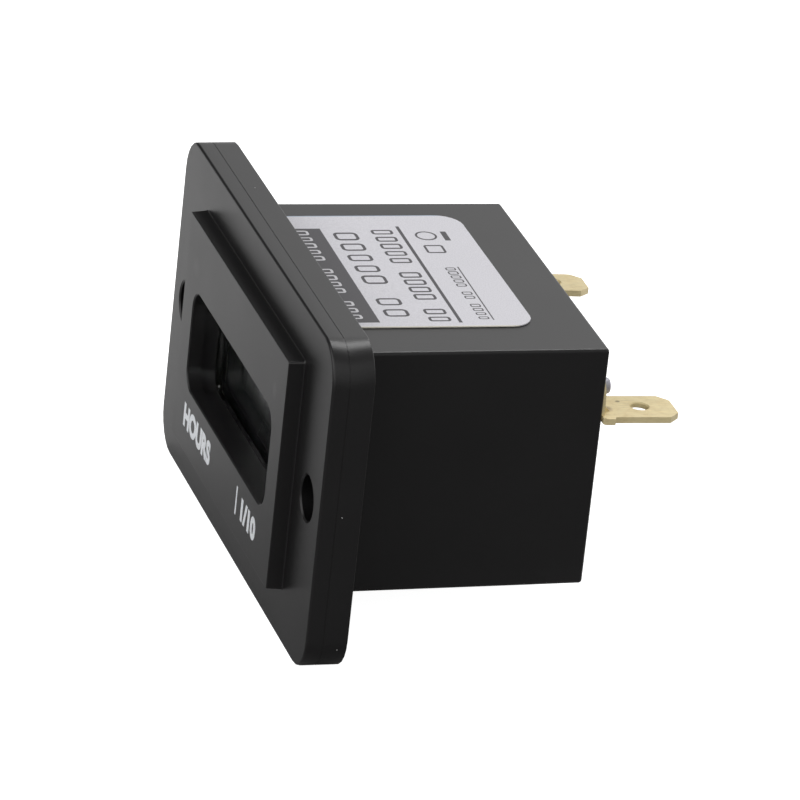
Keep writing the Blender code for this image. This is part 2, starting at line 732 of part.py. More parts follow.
def build_rivet(word, side, lift, steel):
    """Head outside the leg, shank through the wall, and a flare over the inner lug."""
    head_start = snug_gap + lift + strip_thickness + snug_gap
    head_end = head_start + rivet_head_height
    flare_start = -(rear_wall + snug_gap + lug_thickness + snug_gap)
    flare_radius = rivet_shank_radius + rivet_flare
    profile = [
        (0, flare_start - rivet_flare), (rivet_shank_radius, flare_start - rivet_flare),
        (flare_radius, flare_start - rivet_flare_rim), (flare_radius, flare_start),
        (rivet_shank_radius, flare_start), (rivet_shank_radius, head_start),
        (rivet_head_radius, head_start)]
    for step in range(edge_segments + 1):
        angle = math.pi / 2 * step / edge_segments
        profile.append((
            rivet_head_radius - rivet_head_round * (1 - math.cos(angle)),
            head_end - rivet_head_round * (1 - math.sin(angle))))
    profile.append((0, head_end))
    name = f"{word}_rivet"
    rivet = add_object(name, turned(name, profile, round_part_segments), steel)
    placed(rivet, (side * terminal_offset, body_depth, rivet_z))


def build_solder_lug(word, side, brass):
    """A ring under the rivet's flare, with a tail that the lead is soldered to."""
    back = cavity_floor - snug_gap
    front = back - lug_thickness
    half_tail = lug_tail_width / 2
    start = math.asin(half_tail / lug_radius)
    outline = []
    for step in range(lug_steps + 1):
        angle = -math.pi / 2 + start + (2 * math.pi - 2 * start) * step / lug_steps
        outline.append((lug_radius * math.cos(angle), lug_radius * math.sin(angle)))
    outline += [(-half_tail, -lug_tail), (half_tail, -lug_tail)]
    name = f"{word}_solder_lug"
    lug = add_object(name, plate(name, outline, front, back), brass)
    bore = rod(rivet_shank_radius + rivet_clearance, front - cut_margin, back + cut_margin)
    cutter = add_object(f"{word}_lug_bore", turned(f"{word}_lug_bore", bore, small_hole_segments))
    location = (side * terminal_offset, 0, rivet_z)
    combine(lug, placed(cutter, location), "DIFFERENCE")
    placed(lug, location)


def build_lead_wire(word, side, sleeve):
    """Insulated lead from the lug's tail to a pad on the rear of the power board."""
    lug_face = cavity_floor - snug_gap - lug_thickness
    start_z = rivet_z - lug_tail + wire_radius
    start = Vector((side * terminal_offset, lug_face - snug_gap - wire_radius, start_z))
    pad = Vector((side * (board_length / 2 - wire_pad_inset), power_board_back + snug_gap, start.z))
    inward = start.lerp(Vector((pad.x, start.y, start.z)), wire_bow)
    near = pad.lerp(Vector((pad.x, start.y, pad.z)), wire_bow)
    curve = bpy.data.curves.new(f"{word}_lead_wire", "CURVE")
    curve.dimensions = "3D"
    curve.bevel_depth = wire_radius
    curve.bevel_resolution = 2
    curve.use_fill_caps = True
    line = curve.splines.new("POLY")
    line.points.add(wire_steps)
    for index in range(wire_steps + 1):
        t = index / wire_steps
        spot = start * (1 - t) ** 3 + inward * 3 * t * (1 - t) ** 2
        spot += near * 3 * t * t * (1 - t) + pad * t ** 3
        line.points[index].co = (*spot, 1.0)
    wire = bpy.data.objects.new(f"{word}_lead_wire", curve)
    bpy.context.scene.collection.objects.link(wire)
    curve.materials.append(sleeve)


def build_label(paper):
    """Thin label laid on the case's top, which slopes with the body's taper."""
    slope = math.atan2(body_taper, body_depth)
    back = body_depth - label_setback
    middle_y = back - label_width / 2
    top = body_middle + body_height / 2 - body_taper * middle_y / body_depth
    outline = rounded_outline(label_length, label_width, label_corner)
    skin = plate("rating_label", outline, 0.0, label_thickness, axis="Z")
    label = add_object("rating_label", skin, paper)
    label.location = (label_shift, middle_y, top + label_gap)
    label.rotation_euler = (-slope, 0.0, 0.0)


def build_model():
    clear_scene()
    black = material("black_plastic", (0.018, 0.018, 0.019), 0.42)
    clear = material("clear_lens", (0.9, 0.92, 0.92), 0.05, transmission=1.0)
    glass = material("display_glass", (0.8, 0.85, 0.82), 0.05, transmission=0.8)
    film = material("polarising_film", (0.03, 0.032, 0.035), 0.3)
    holder_plastic = material("white_plastic", (0.75, 0.75, 0.72), 0.5)
    elastomer = material("striped_elastomer", (0.08, 0.08, 0.09), 0.7)
    laminate = material("board_laminate", (0.02, 0.13, 0.05), 0.45)
    resin = material("black_resin", (0.02, 0.02, 0.02), 0.5)
    steel = material("plated_steel", (0.62, 0.62, 0.64), 0.3, 1.0)
    film_case = material("yellow_capacitor_case", (0.75, 0.55, 0.08), 0.45)
    can_metal = material("capacitor_sleeve", (0.03, 0.05, 0.16), 0.35)
    ceramic = material("resistor_body", (0.12, 0.3, 0.33), 0.5)
    varistor_coat = material("varistor_coat", (0.05, 0.12, 0.5), 0.4)
    brass = material("brass", (0.62, 0.52, 0.29), 0.3, 1.0)
    paper = material("label_paper", (0.74, 0.73, 0.76), 0.55)
    red = material("red_sleeve", (0.45, 0.02, 0.02), 0.4)
    blue = material("blue_sleeve", (0.02, 0.06, 0.35), 0.4)
    build_front_bezel(black)
    build_rear_case(black)
    build_display(clear, glass, film, holder_plastic, elastomer)
    build_boards(laminate)
    build_display_board_parts(resin, steel)
    build_power_board_parts(resin, film_case, can_metal, ceramic, varistor_coat)
    build_board_header(resin)
    for word, side, roll, yaw, lift, sleeve in (
            ("left", -1, left_terminal_roll, left_terminal_yaw, left_terminal_lift, blue),
            ("right", 1, 0.0, 0.0, -seat_depth, red)):
        build_terminal(word, side, -roll, yaw, lift, brass)
        build_rivet(word, side, lift, steel)
        build_solder_lug(word, side, brass)
        build_lead_wire(word, side, sleeve)
    build_label(paper)


build_model()
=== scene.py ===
import math
import bpy
import bmesh
from mathutils import Matrix, Vector


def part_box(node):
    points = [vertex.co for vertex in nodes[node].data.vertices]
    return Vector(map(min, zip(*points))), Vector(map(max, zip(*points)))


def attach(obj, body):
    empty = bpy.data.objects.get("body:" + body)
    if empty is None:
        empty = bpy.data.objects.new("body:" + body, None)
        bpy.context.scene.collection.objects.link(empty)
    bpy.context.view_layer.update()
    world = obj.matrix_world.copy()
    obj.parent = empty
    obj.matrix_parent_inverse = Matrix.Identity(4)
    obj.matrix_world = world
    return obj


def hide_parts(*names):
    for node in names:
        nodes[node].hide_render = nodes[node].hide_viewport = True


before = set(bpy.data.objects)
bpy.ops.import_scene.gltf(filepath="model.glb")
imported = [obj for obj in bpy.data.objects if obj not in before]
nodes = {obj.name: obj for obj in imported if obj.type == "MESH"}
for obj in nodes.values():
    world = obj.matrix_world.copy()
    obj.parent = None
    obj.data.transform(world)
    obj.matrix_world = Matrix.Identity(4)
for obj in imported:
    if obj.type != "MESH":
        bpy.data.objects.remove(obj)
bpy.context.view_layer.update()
mm = 0.001
print("frame loaded:", len(nodes), "nodes")

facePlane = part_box("front_bezel")[0].y  # face of the raised frame
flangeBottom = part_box("front_bezel")[0].z
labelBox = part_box("rating_label")

cameraSettings = {
    "place": (558.603 * mm, -173.805 * mm, 264.497 * mm),
    "right": (0.271906, 0.95710348, 0.10010026),
    "down": (0.40460096, -0.01932168, -0.9142892),
    "forward": (-0.87313526, 0.28910138, -0.39249866),
    "lens": 310.194,
    "sensor": 36.0,
    "clipStart": 0.01,
    "clipEnd": 20.0,
}

studio = {
    "brightSide": (-0.35, 0.9, 0.25),  # where the backdrop is white in reflections
    "darkTone": 0.08,  # of the backdrop in reflections, on the far side from it
    "brightTone": 1.0,
    "darkEnd": 0.42,  # the backdrop is darkest below this share of the way towards brightSide
    "brightEnd": 0.7,
    "ambient": 0.35,  # the backdrop's own light on the object
    "floorSize": 3.0,
    "floorDrop": 0.01 * mm,  # below the flange's lower edge
    "floorTone": 0.8,  # as the camera sees it, before the glow
    "nearTone": 1.0,  # floor at the left and rear, as reflections see it
    "shadeTone": 0.18,  # floor at the right and front, as reflections and bounced light see it
    "shadeTurn": -1.5,  # how far the floor's shading turns towards the front
    "shadeStart": -0.045,
    "shadeEnd": 0.055,
    "rightStart": 0.008,  # where the floor's right part begins to darken
    "rightEnd": 0.028,
    "floorGlow": 0.95,  # added for the camera and through glass alone, so the shadow stays faint
    "lampTarget": (0.0, 0.01, 0.012),  # the lamps face it, and their places start from it
    "lamps": [
        {"name": "overheadSoftbox", "place": (-0.24, 0.17, 0.56), "size": 0.22, "power": 0.9},
        {"name": "frontSoftbox", "place": (0.05, -0.62, 0.38), "size": 0.8, "power": 2.3},
        {"name": "rightSoftbox", "place": (0.52, -0.22, 0.3), "size": 0.9, "power": 2.1},
    ],
}


# Small helpers for node trees

def addNode(tree, kind, place, inputs=None, **settings):
    node = tree.nodes.new(kind)
    node.location = place
    for name, value in settings.items():
        setattr(node, name, value)
    for name, value in (inputs or {}).items():
        node.inputs[name].default_value = value
    return node


def link(tree, source, target):
    tree.links.new(source, target)


def newGroup(name, kind, inputs, outputs):
    tree = bpy.data.node_groups.new(name, kind)
    for title, socketType, value in inputs:
        made = tree.interface.new_socket(title, in_out="INPUT", socket_type=socketType)
        if value is not None:
            made.default_value = value
    for title, socketType in outputs:
        tree.interface.new_socket(title, in_out="OUTPUT", socket_type=socketType)
    entry = addNode(tree, "NodeGroupInput", (-900, 0))
    leave = addNode(tree, "NodeGroupOutput", (700, 0))
    return tree, entry, leave


def mathNode(tree, operation, place, *values):
    node = addNode(tree, "ShaderNodeMath", place, operation=operation)
    for index, value in enumerate(values):
        if isinstance(value, (int, float)):
            node.inputs[index].default_value = value
        else:
            link(tree, value, node.inputs[index])
    return node.outputs[0]


def mixColor(tree, place, factor, one, other, blend="MIX"):
    node = addNode(tree, "ShaderNodeMix", place, data_type="RGBA", blend_type=blend)
    for socket, value in ((node.inputs[0], factor), (node.inputs[6], one), (node.inputs[7], other)):
        if isinstance(value, (int, float)):
            socket.default_value = value
        elif isinstance(value, tuple):
            socket.default_value = (*value[:3], 1.0)
        else:
            link(tree, value, socket)
    return node.outputs[2]


def spread(tree, place, value, low, high, toLow, toHigh):
    node = addNode(tree, "ShaderNodeMapRange", place, {
        "From Min": low, "From Max": high, "To Min": toLow, "To Max": toHigh})
    link(tree, value, node.inputs["Value"])
    return node.outputs["Result"]


# Shader groups shared by the finishes

def makeGrainGroup():
    tree, entry, leave = newGroup("mouldedGrain", "ShaderNodeTree", [
        ("Vector", "NodeSocketVector", None), ("Color", "NodeSocketColor", (0.02, 0.02, 0.02, 1.0)),
        ("Grain Size", "NodeSocketFloat", 0.15 * mm), ("Patch Size", "NodeSocketFloat", 6 * mm),
        ("Patch Depth", "NodeSocketFloat", 0.2), ("Roughness", "NodeSocketFloat", 0.4),
        ("Roughness Range", "NodeSocketFloat", 0.06)], [
        ("Color", "NodeSocketColor"), ("Roughness", "NodeSocketFloat"), ("Height", "NodeSocketFloat")])
    fineScale = mathNode(tree, "DIVIDE", (-700, 200), 1.0, entry.outputs["Grain Size"])
    broadScale = mathNode(tree, "DIVIDE", (-700, -100), 1.0, entry.outputs["Patch Size"])
    fine = addNode(tree, "ShaderNodeTexNoise", (-500, 200), {"Detail": 2.0, "Roughness": 0.6})
    broad = addNode(tree, "ShaderNodeTexNoise", (-500, -100), {"Detail": 3.0, "Roughness": 0.55})
    for texture, scale in ((fine, fineScale), (broad, broadScale)):
        link(tree, entry.outputs["Vector"], texture.inputs["Vector"])
        link(tree, scale, texture.inputs["Scale"])
    patch = mathNode(tree, "SUBTRACT", (-280, -100), broad.outputs["Fac"], 0.5)
    lift = mathNode(tree, "MULTIPLY_ADD", (-100, -100), patch, entry.outputs["Patch Depth"], 1.0)
    grainLift = mathNode(tree, "MULTIPLY_ADD", (-100, 60), fine.outputs["Fac"], 0.5, 0.75)
    shade = mathNode(tree, "MULTIPLY", (80, 0), lift, grainLift)
    scaled = addNode(tree, "ShaderNodeVectorMath", (300, 120), operation="SCALE")
    link(tree, entry.outputs["Color"], scaled.inputs[0])
    link(tree, shade, scaled.inputs["Scale"])
    rough = mathNode(tree, "MULTIPLY_ADD", (300, -120), patch, entry.outputs["Roughness Range"],
                     entry.outputs["Roughness"])
    link(tree, scaled.outputs["Vector"], leave.inputs["Color"])
    link(tree, rough, leave.inputs["Roughness"])
    link(tree, fine.outputs["Fac"], leave.inputs["Height"])
    return tree


def makeDustGroup():
    tree, entry, leave = newGroup("fineDust", "ShaderNodeTree", [
        ("Vector", "NodeSocketVector", None), ("Color", "NodeSocketColor", (0.02, 0.02, 0.02, 1.0)),
        ("Dust Color", "NodeSocketColor", (0.45, 0.45, 0.45, 1.0)), ("Spacing", "NodeSocketFloat", 1.6 * mm),
        ("Speck Size", "NodeSocketFloat", 0.05), ("Share", "NodeSocketFloat", 0.08)], [
        ("Color", "NodeSocketColor"), ("Mask", "NodeSocketFloat")])
    scale = mathNode(tree, "DIVIDE", (-700, 0), 1.0, entry.outputs["Spacing"])
    cells = addNode(tree, "ShaderNodeTexVoronoi", (-500, 0))
    link(tree, entry.outputs["Vector"], cells.inputs["Vector"])
    link(tree, scale, cells.inputs["Scale"])
    near = mathNode(tree, "LESS_THAN", (-280, 100), cells.outputs["Distance"], entry.outputs["Speck Size"])
    pick = addNode(tree, "ShaderNodeSeparateColor", (-280, -100))
    link(tree, cells.outputs["Color"], pick.inputs[0])
    chosen = mathNode(tree, "LESS_THAN", (-100, -100), pick.outputs[0], entry.outputs["Share"])
    mask = mathNode(tree, "MULTIPLY", (80, 0), near, chosen)
    link(tree, mixColor(tree, (300, 100), mask, entry.outputs["Color"], entry.outputs["Dust Color"]),
         leave.inputs["Color"])
    link(tree, mask, leave.inputs["Mask"])
    return tree


def makeMetalGroup():
    tree, entry, leave = newGroup("rolledMetal", "ShaderNodeTree", [
        ("Vector", "NodeSocketVector", None), ("Color", "NodeSocketColor", (0.6, 0.5, 0.3, 1.0)),
        ("Tarnish Color", "NodeSocketColor", (0.3, 0.2, 0.1, 1.0)), ("Tarnish", "NodeSocketFloat", 0.4),
        ("Line Size", "NodeSocketFloat", 0.08 * mm), ("Stretch", "NodeSocketFloat", 0.05),
        ("Roughness", "NodeSocketFloat", 0.35)], [
        ("Color", "NodeSocketColor"), ("Roughness", "NodeSocketFloat"), ("Height", "NodeSocketFloat")])
    squeeze = addNode(tree, "ShaderNodeCombineXYZ", (-700, 260), {"X": 1.0, "Z": 1.0})
    link(tree, entry.outputs["Stretch"], squeeze.inputs["Y"])
    along = addNode(tree, "ShaderNodeVectorMath", (-520, 200), operation="MULTIPLY")
    link(tree, entry.outputs["Vector"], along.inputs[0])
    link(tree, squeeze.outputs[0], along.inputs[1])
    lines = addNode(tree, "ShaderNodeTexNoise", (-320, 200), {"Detail": 2.0})
    link(tree, along.outputs["Vector"], lines.inputs["Vector"])
    link(tree, mathNode(tree, "DIVIDE", (-520, 0), 1.0, entry.outputs["Line Size"]), lines.inputs["Scale"])
    clouds = addNode(tree, "ShaderNodeTexNoise", (-320, -100), {
        "Scale": 900.0, "Detail": 4.0, "Roughness": 0.65})
    link(tree, entry.outputs["Vector"], clouds.inputs["Vector"])
    stain = spread(tree, (-120, -100), clouds.outputs["Fac"], 0.45, 0.75, 0.0, 1.0)
    amount = mathNode(tree, "MULTIPLY", (60, -100), stain, entry.outputs["Tarnish"])
    tinted = mixColor(tree, (260, 120), amount, entry.outputs["Color"], entry.outputs["Tarnish Color"])
    glint = spread(tree, (60, 260), lines.outputs["Fac"], 0.3, 0.7, 0.9, 1.08)
    scaled = addNode(tree, "ShaderNodeVectorMath", (460, 160), operation="SCALE")
    link(tree, tinted, scaled.inputs[0])
    link(tree, glint, scaled.inputs["Scale"])
    rough = mathNode(tree, "MULTIPLY_ADD", (460, -120), amount, 0.25, entry.outputs["Roughness"])
    link(tree, scaled.outputs["Vector"], leave.inputs["Color"])
    link(tree, rough, leave.inputs["Roughness"])
    link(tree, lines.outputs["Fac"], leave.inputs["Height"])
    return tree


def makeSpotGroup():
    tree, entry, leave = newGroup("softSpot", "ShaderNodeTree", [
        ("Vector", "NodeSocketVector", None), ("Center", "NodeSocketVector", (0.0, 0.0, 0.0)),
        ("Stretch", "NodeSocketVector", (1.0, 1.0, 1.0)), ("Radius", "NodeSocketFloat", 0.3 * mm),
        ("Softness", "NodeSocketFloat", 0.1 * mm)], [("Mask", "NodeSocketFloat")])
    offset = addNode(tree, "ShaderNodeVectorMath", (-600, 0), operation="SUBTRACT")
    link(tree, entry.outputs["Vector"], offset.inputs[0])
    link(tree, entry.outputs["Center"], offset.inputs[1])
    shaped = addNode(tree, "ShaderNodeVectorMath", (-420, 0), operation="MULTIPLY")
    link(tree, offset.outputs["Vector"], shaped.inputs[0])
    link(tree, entry.outputs["Stretch"], shaped.inputs[1])
    far = addNode(tree, "ShaderNodeVectorMath", (-240, 0), operation="LENGTH")
    link(tree, shaped.outputs["Vector"], far.inputs[0])
    inside = mathNode(tree, "SUBTRACT", (-60, 0), entry.outputs["Radius"], far.outputs["Value"])
    ratio = mathNode(tree, "DIVIDE", (120, 0), inside, entry.outputs["Softness"])
    clamped = addNode(tree, "ShaderNodeClamp", (300, 0))
    link(tree, ratio, clamped.inputs["Value"])
    link(tree, clamped.outputs[0], leave.inputs["Mask"])
    return tree


groups = {
    "grain": makeGrainGroup(),
    "dust": makeDustGroup(),
    "metal": makeMetalGroup(),
    "spot": makeSpotGroup(),
}
print("shader groups:", ", ".join(tree.name for tree in groups.values()))


def placeGroup(tree, key, place, vector, values):
    node = addNode(tree, "ShaderNodeGroup", place, node_tree=groups[key])
    link(tree, vector, node.inputs["Vector"])
    for name, value in values.items():
        if isinstance(value, bpy.types.NodeSocket):
            link(tree, value, node.inputs[name])
        elif isinstance(value, tuple) and node.inputs[name].type == "RGBA":
            node.inputs[name].default_value = (*value, 1.0)
        else:
            node.inputs[name].default_value = value
    return node


def startMaterial(name, fixed=None):  # fixed: values set on the shader's own sockets
    made = bpy.data.materials.new(name)
    made.use_nodes = True
    tree = made.node_tree
    shader = tree.nodes["Principled BSDF"]
    shader.location = (500, 0)
    tree.nodes["Material Output"].location = (800, 0)
    for socket, value in (fixed or {}).items():
        shader.inputs[socket].default_value = value
    coords = addNode(tree, "ShaderNodeTexCoord", (-900, 0))
    return made, tree, shader, coords.outputs["Object"]


def addBump(tree, shader, height, strength, distance):
    bump = addNode(tree, "ShaderNodeBump", (260, -260), {"Strength": strength, "Distance": distance})
    link(tree, height, bump.inputs["Height"])
    link(tree, bump.outputs["Normal"], shader.inputs["Normal"])


def addSpots(tree, coords, spots, color, height):
    # Patches of another colour at fixed places, dented where they have a depth; some are painted shade
    for spot in spots:
        mask = placeGroup(tree, "spot", (-200, 400), coords, {
            "Center": spot["center"], "Stretch": spot["stretch"], "Radius": spot["radius"],
            "Softness": spot["softness"]}).outputs["Mask"]
        share = mathNode(tree, "MULTIPLY", (0, 400), mask, spot["strength"])
        color = mixColor(tree, (120, 300), share, color, spot["color"])
        if "depth" in spot:
            height = mathNode(tree, "MULTIPLY_ADD", (120, -100), mask, -spot["depth"], height)
    return color, height


# Finishes

def grainyFinish(name, values):
    made, tree, shader, coords = startMaterial(name)
    grain = placeGroup(tree, "grain", (-500, 0), coords, {
        "Color": values["color"], "Grain Size": values["grainSize"], "Patch Size": values["patchSize"],
        "Patch Depth": values["patchDepth"], "Roughness": values["roughness"],
        "Roughness Range": values["roughnessRange"]})
    color, height = addSpots(tree, coords, values.get("spots", []), grain.outputs["Color"],
                             grain.outputs["Height"])
    if "dust" in values:
        dust = placeGroup(tree, "dust", (120, 60), coords, dict(values["dust"], Color=color))
        color = dust.outputs["Color"]
    link(tree, color, shader.inputs["Base Color"])
    link(tree, grain.outputs["Roughness"], shader.inputs["Roughness"])
    addBump(tree, shader, height, values["bump"], values["bumpDistance"])
    return made


def metalFinish(name, values):
    made, tree, shader, coords = startMaterial(name, {"Metallic": values["metallic"]})
    metal = placeGroup(tree, "metal", (-500, 0), coords, {
        "Color": values["color"], "Tarnish Color": values["tarnishColor"], "Tarnish": values["tarnish"],
        "Line Size": values["lineSize"], "Stretch": values["stretch"], "Roughness": values["roughness"]})
    color, height = addSpots(tree, coords, values.get("spots", []), metal.outputs["Color"],
                             metal.outputs["Height"])
    link(tree, color, shader.inputs["Base Color"])
    link(tree, metal.outputs["Roughness"], shader.inputs["Roughness"])
    addBump(tree, shader, height, values["bump"], values["bumpDistance"])
    return made


finishes = {
    "blackPlastic": {
        "color": (0.0105, 0.01, 0.0104), "grainSize": 0.14 * mm, "patchSize": 9 * mm, "patchDepth": 0.35,
        "roughness": 0.34, "roughnessRange": 0.06, "bump": 0.12, "bumpDistance": 0.02 * mm,
        "dust": {"Spacing": 3.2 * mm, "Speck Size": 0.018, "Share": 0.12, "Dust Color": (0.3, 0.3, 0.3)},
        "spots": [
            {"center": (14.2 * mm, facePlane, 21.0 * mm), "stretch": (1.0, 1.0, 0.8), "radius": 0.8 * mm,
             "softness": 0.5 * mm, "strength": 0.5, "color": (0.06, 0.06, 0.06)},
            {"center": (-14.3 * mm, facePlane, 21.0 * mm), "stretch": (0.8, 1.0, 1.0), "radius": 1.1 * mm,
             "softness": 0.9 * mm, "strength": 0.4, "color": (0.05, 0.05, 0.05)},
            # painted shade: near-black on the walls of the two screw holes
            {"center": (22.22 * mm, -1.9 * mm, 13.95 * mm), "stretch": (1.0, 0.1, 1.0), "radius": 2.17 * mm,
             "softness": 0.03 * mm, "strength": 0.85, "color": (0.001, 0.001, 0.001)},
            {"center": (-22.22 * mm, -1.9 * mm, 13.95 * mm), "stretch": (1.0, 0.1, 1.0), "radius": 2.17 * mm,
             "softness": 0.03 * mm, "strength": 0.85, "color": (0.001, 0.001, 0.001)},
        ],
    },
    "whitePlastic": {
        "color": (0.75, 0.75, 0.72), "grainSize": 0.2 * mm, "patchSize": 5 * mm, "patchDepth": 0.1,
        "roughness": 0.45, "roughnessRange": 0.05, "bump": 0.08, "bumpDistance": 0.02 * mm},
    "blackResin": {
        "color": (0.022, 0.022, 0.024), "grainSize": 0.08 * mm, "patchSize": 3 * mm, "patchDepth": 0.3,
        "roughness": 0.5, "roughnessRange": 0.1, "bump": 0.2, "bumpDistance": 0.02 * mm},
    "yellowCase": {
        "color": (0.72, 0.5, 0.06), "grainSize": 0.3 * mm, "patchSize": 4 * mm, "patchDepth": 0.15,
        "roughness": 0.35, "roughnessRange": 0.08, "bump": 0.06, "bumpDistance": 0.03 * mm},
    "canSleeve": {
        "color": (0.02, 0.035, 0.12), "grainSize": 0.4 * mm, "patchSize": 3 * mm, "patchDepth": 0.25,
        "roughness": 0.3, "roughnessRange": 0.1, "bump": 0.05, "bumpDistance": 0.03 * mm},
    "resistorLacquer": {
        "color": (0.1, 0.27, 0.3), "grainSize": 0.2 * mm, "patchSize": 2 * mm, "patchDepth": 0.3,
        "roughness": 0.4, "roughnessRange": 0.1, "bump": 0.12, "bumpDistance": 0.03 * mm},
    "varistorCoat": {
        "color": (0.03, 0.08, 0.4), "grainSize": 0.3 * mm, "patchSize": 2 * mm, "patchDepth": 0.3,
        "roughness": 0.32, "roughnessRange": 0.1, "bump": 0.15, "bumpDistance": 0.04 * mm},
    "redSleeve": {
        "color": (0.4, 0.015, 0.015), "grainSize": 0.3 * mm, "patchSize": 3 * mm, "patchDepth": 0.15,
        "roughness": 0.38, "roughnessRange": 0.06, "bump": 0.05, "bumpDistance": 0.02 * mm},
    "blueSleeve": {
        "color": (0.015, 0.04, 0.3), "grainSize": 0.3 * mm, "patchSize": 3 * mm, "patchDepth": 0.15,
        "roughness": 0.38, "roughnessRange": 0.06, "bump": 0.05, "bumpDistance": 0.02 * mm},
    "filmPolariser": {
        "color": (0.012, 0.014, 0.013), "grainSize": 0.1 * mm, "patchSize": 7 * mm, "patchDepth": 0.3,
        "roughness": 0.28, "roughnessRange": 0.06, "bump": 0.02, "bumpDistance": 0.01 * mm},
    "figureInk": {
        "color": (0.006, 0.006, 0.007), "grainSize": 0.1 * mm, "patchSize": 5 * mm, "patchDepth": 0.2,
        "roughness": 0.3, "roughnessRange": 0.05, "bump": 0.02, "bumpDistance": 0.01 * mm},
    "legendInk": {
        "color": (0.84, 0.86, 0.89), "grainSize": 0.12 * mm, "patchSize": 1.5 * mm, "patchDepth": 0.12,
        "roughness": 0.5, "roughnessRange": 0.08, "bump": 0.15, "bumpDistance": 0.01 * mm},
    "labelInk": {
        "color": (0.075, 0.072, 0.08), "grainSize": 0.1 * mm, "patchSize": 2 * mm, "patchDepth": 0.25,
        "roughness": 0.5, "roughnessRange": 0.08, "bump": 0.05, "bumpDistance": 0.01 * mm},
    "paleInk": {
        "color": (0.72, 0.71, 0.74), "grainSize": 0.1 * mm, "patchSize": 2 * mm, "patchDepth": 0.1,
        "roughness": 0.5, "roughnessRange": 0.08, "bump": 0.05, "bumpDistance": 0.01 * mm},
    "flecks": {
        "color": (0.4, 0.4, 0.4), "grainSize": 0.05 * mm, "patchSize": 0.3 * mm, "patchDepth": 0.3,
        "roughness": 0.8, "roughnessRange": 0.1, "bump": 0.3, "bumpDistance": 0.02 * mm},
}

metals = {
    "brassStrip": {
        "metallic": 0.3, "color": (0.9, 0.76, 0.44), "tarnishColor": (0.64, 0.47, 0.2), "tarnish": 0.4,
        "lineSize": 0.07 * mm, "stretch": 0.06, "roughness": 0.42, "bump": 0.18, "bumpDistance": 0.02 * mm,
        "spots": [
            # a small stamped dimple near the blade's shoulder, dented by the bump, with painted shade in it
            {"center": (13.65 * mm, 27.45 * mm, 18.95 * mm), "stretch": (1.0, 0.8, 0.3), "radius": 0.22 * mm,
             "softness": 0.1 * mm, "strength": 0.7, "color": (0.2, 0.15, 0.08), "depth": 2.0},
            # painted shade at the right terminal's bend, beside the leg
            {"center": (15.3 * mm, 25.95 * mm, 19.0 * mm), "stretch": (0.8, 1.0, 0.8), "radius": 0.6 * mm,
             "softness": 0.4 * mm, "strength": 0.6, "color": (0.24, 0.15, 0.08), "depth": 0.0},
        ],
    },
    "platedSteel": {
        "metallic": 0.5, "color": (0.5, 0.5, 0.56), "tarnishColor": (0.36, 0.35, 0.38), "tarnish": 0.3,
        "lineSize": 0.2 * mm, "stretch": 1.0, "roughness": 0.5, "bump": 0.1, "bumpDistance": 0.02 * mm},
}

madeFinishes = {name: grainyFinish(name, values) for name, values in finishes.items()}
madeFinishes.update({name: metalFinish(name, values) for name, values in metals.items()})


clearPieces = {
    "clearLens": {"transmission": 1.0, "ior": 1.49, "color": (0.93, 0.94, 0.94), "hazeScale": 400.0,
                  "hazeDetail": 3.0, "leastRoughness": 0.02, "mostRoughness": 0.07},
    "displayGlass": {"transmission": 0.85, "ior": 1.5, "color": (0.75, 0.82, 0.79), "hazeScale": 300.0,
                     "hazeDetail": 2.0, "leastRoughness": 0.03, "mostRoughness": 0.08},
}


def clearFinish(name, values):
    made, tree, shader, coords = startMaterial(name, {
        "Transmission Weight": values["transmission"], "IOR": values["ior"],
        "Base Color": (*values["color"], 1.0)})
    haze = addNode(tree, "ShaderNodeTexNoise", (-500, 0), {
        "Scale": values["hazeScale"], "Detail": values["hazeDetail"]})
    link(tree, coords, haze.inputs["Vector"])
    rough = spread(tree, (-200, 0), haze.outputs["Fac"], 0.3, 0.7, values["leastRoughness"],
                   values["mostRoughness"])
    link(tree, rough, shader.inputs["Roughness"])
    return made


contactStrip = {
    "bandScale": 800.0,
    "darkColor": (0.02, 0.02, 0.02),
    "paleColor": (0.35, 0.33, 0.32),
}


def makeElastomerFinish():
    made, tree, shader, coords = startMaterial("stripedElastomer")
    bands = addNode(tree, "ShaderNodeTexWave", (-500, 0), {
        "Scale": contactStrip["bandScale"], "Distortion": 0.0}, bands_direction="X")
    link(tree, coords, bands.inputs["Vector"])
    mask = spread(tree, (-250, 0), bands.outputs["Fac"], 0.45, 0.55, 0.0, 1.0)
    color = mixColor(tree, (0, 0), mask, contactStrip["darkColor"], contactStrip["paleColor"])
    link(tree, color, shader.inputs["Base Color"])
    link(tree, spread(tree, (0, -200), mask, 0.0, 1.0, 0.75, 0.6), shader.inputs["Roughness"])
    return made


boardPrint = {
    "color": (0.015, 0.11, 0.045),
    "trackColor": (0.05, 0.24, 0.1),
    "trackScale": 320.0,
}


def makeBoardFinish():
    made, tree, shader, coords = startMaterial("boardLaminate")
    flat = addNode(tree, "ShaderNodeMapping", (-700, 0), {"Rotation": (math.pi / 2, 0.0, 0.0)})
    link(tree, coords, flat.inputs["Vector"])
    tracks = addNode(tree, "ShaderNodeTexBrick", (-500, 0), {
        "Scale": boardPrint["trackScale"], "Mortar Size": 0.06, "Mortar Smooth": 0.1, "Brick Width": 0.9,
        "Row Height": 0.45})
    link(tree, flat.outputs["Vector"], tracks.inputs["Vector"])
    grain = placeGroup(tree, "grain", (-500, -300), coords, {
        "Color": boardPrint["color"], "Grain Size": 0.3 * mm, "Patch Size": 5 * mm, "Patch Depth": 0.3,
        "Roughness": 0.38, "Roughness Range": 0.08})
    color = mixColor(tree, (0, 0), tracks.outputs["Fac"], grain.outputs["Color"], boardPrint["trackColor"])
    link(tree, color, shader.inputs["Base Color"])
    link(tree, grain.outputs["Roughness"], shader.inputs["Roughness"])
    addBump(tree, shader, tracks.outputs["Fac"], 0.2, 0.03 * mm)
    return made


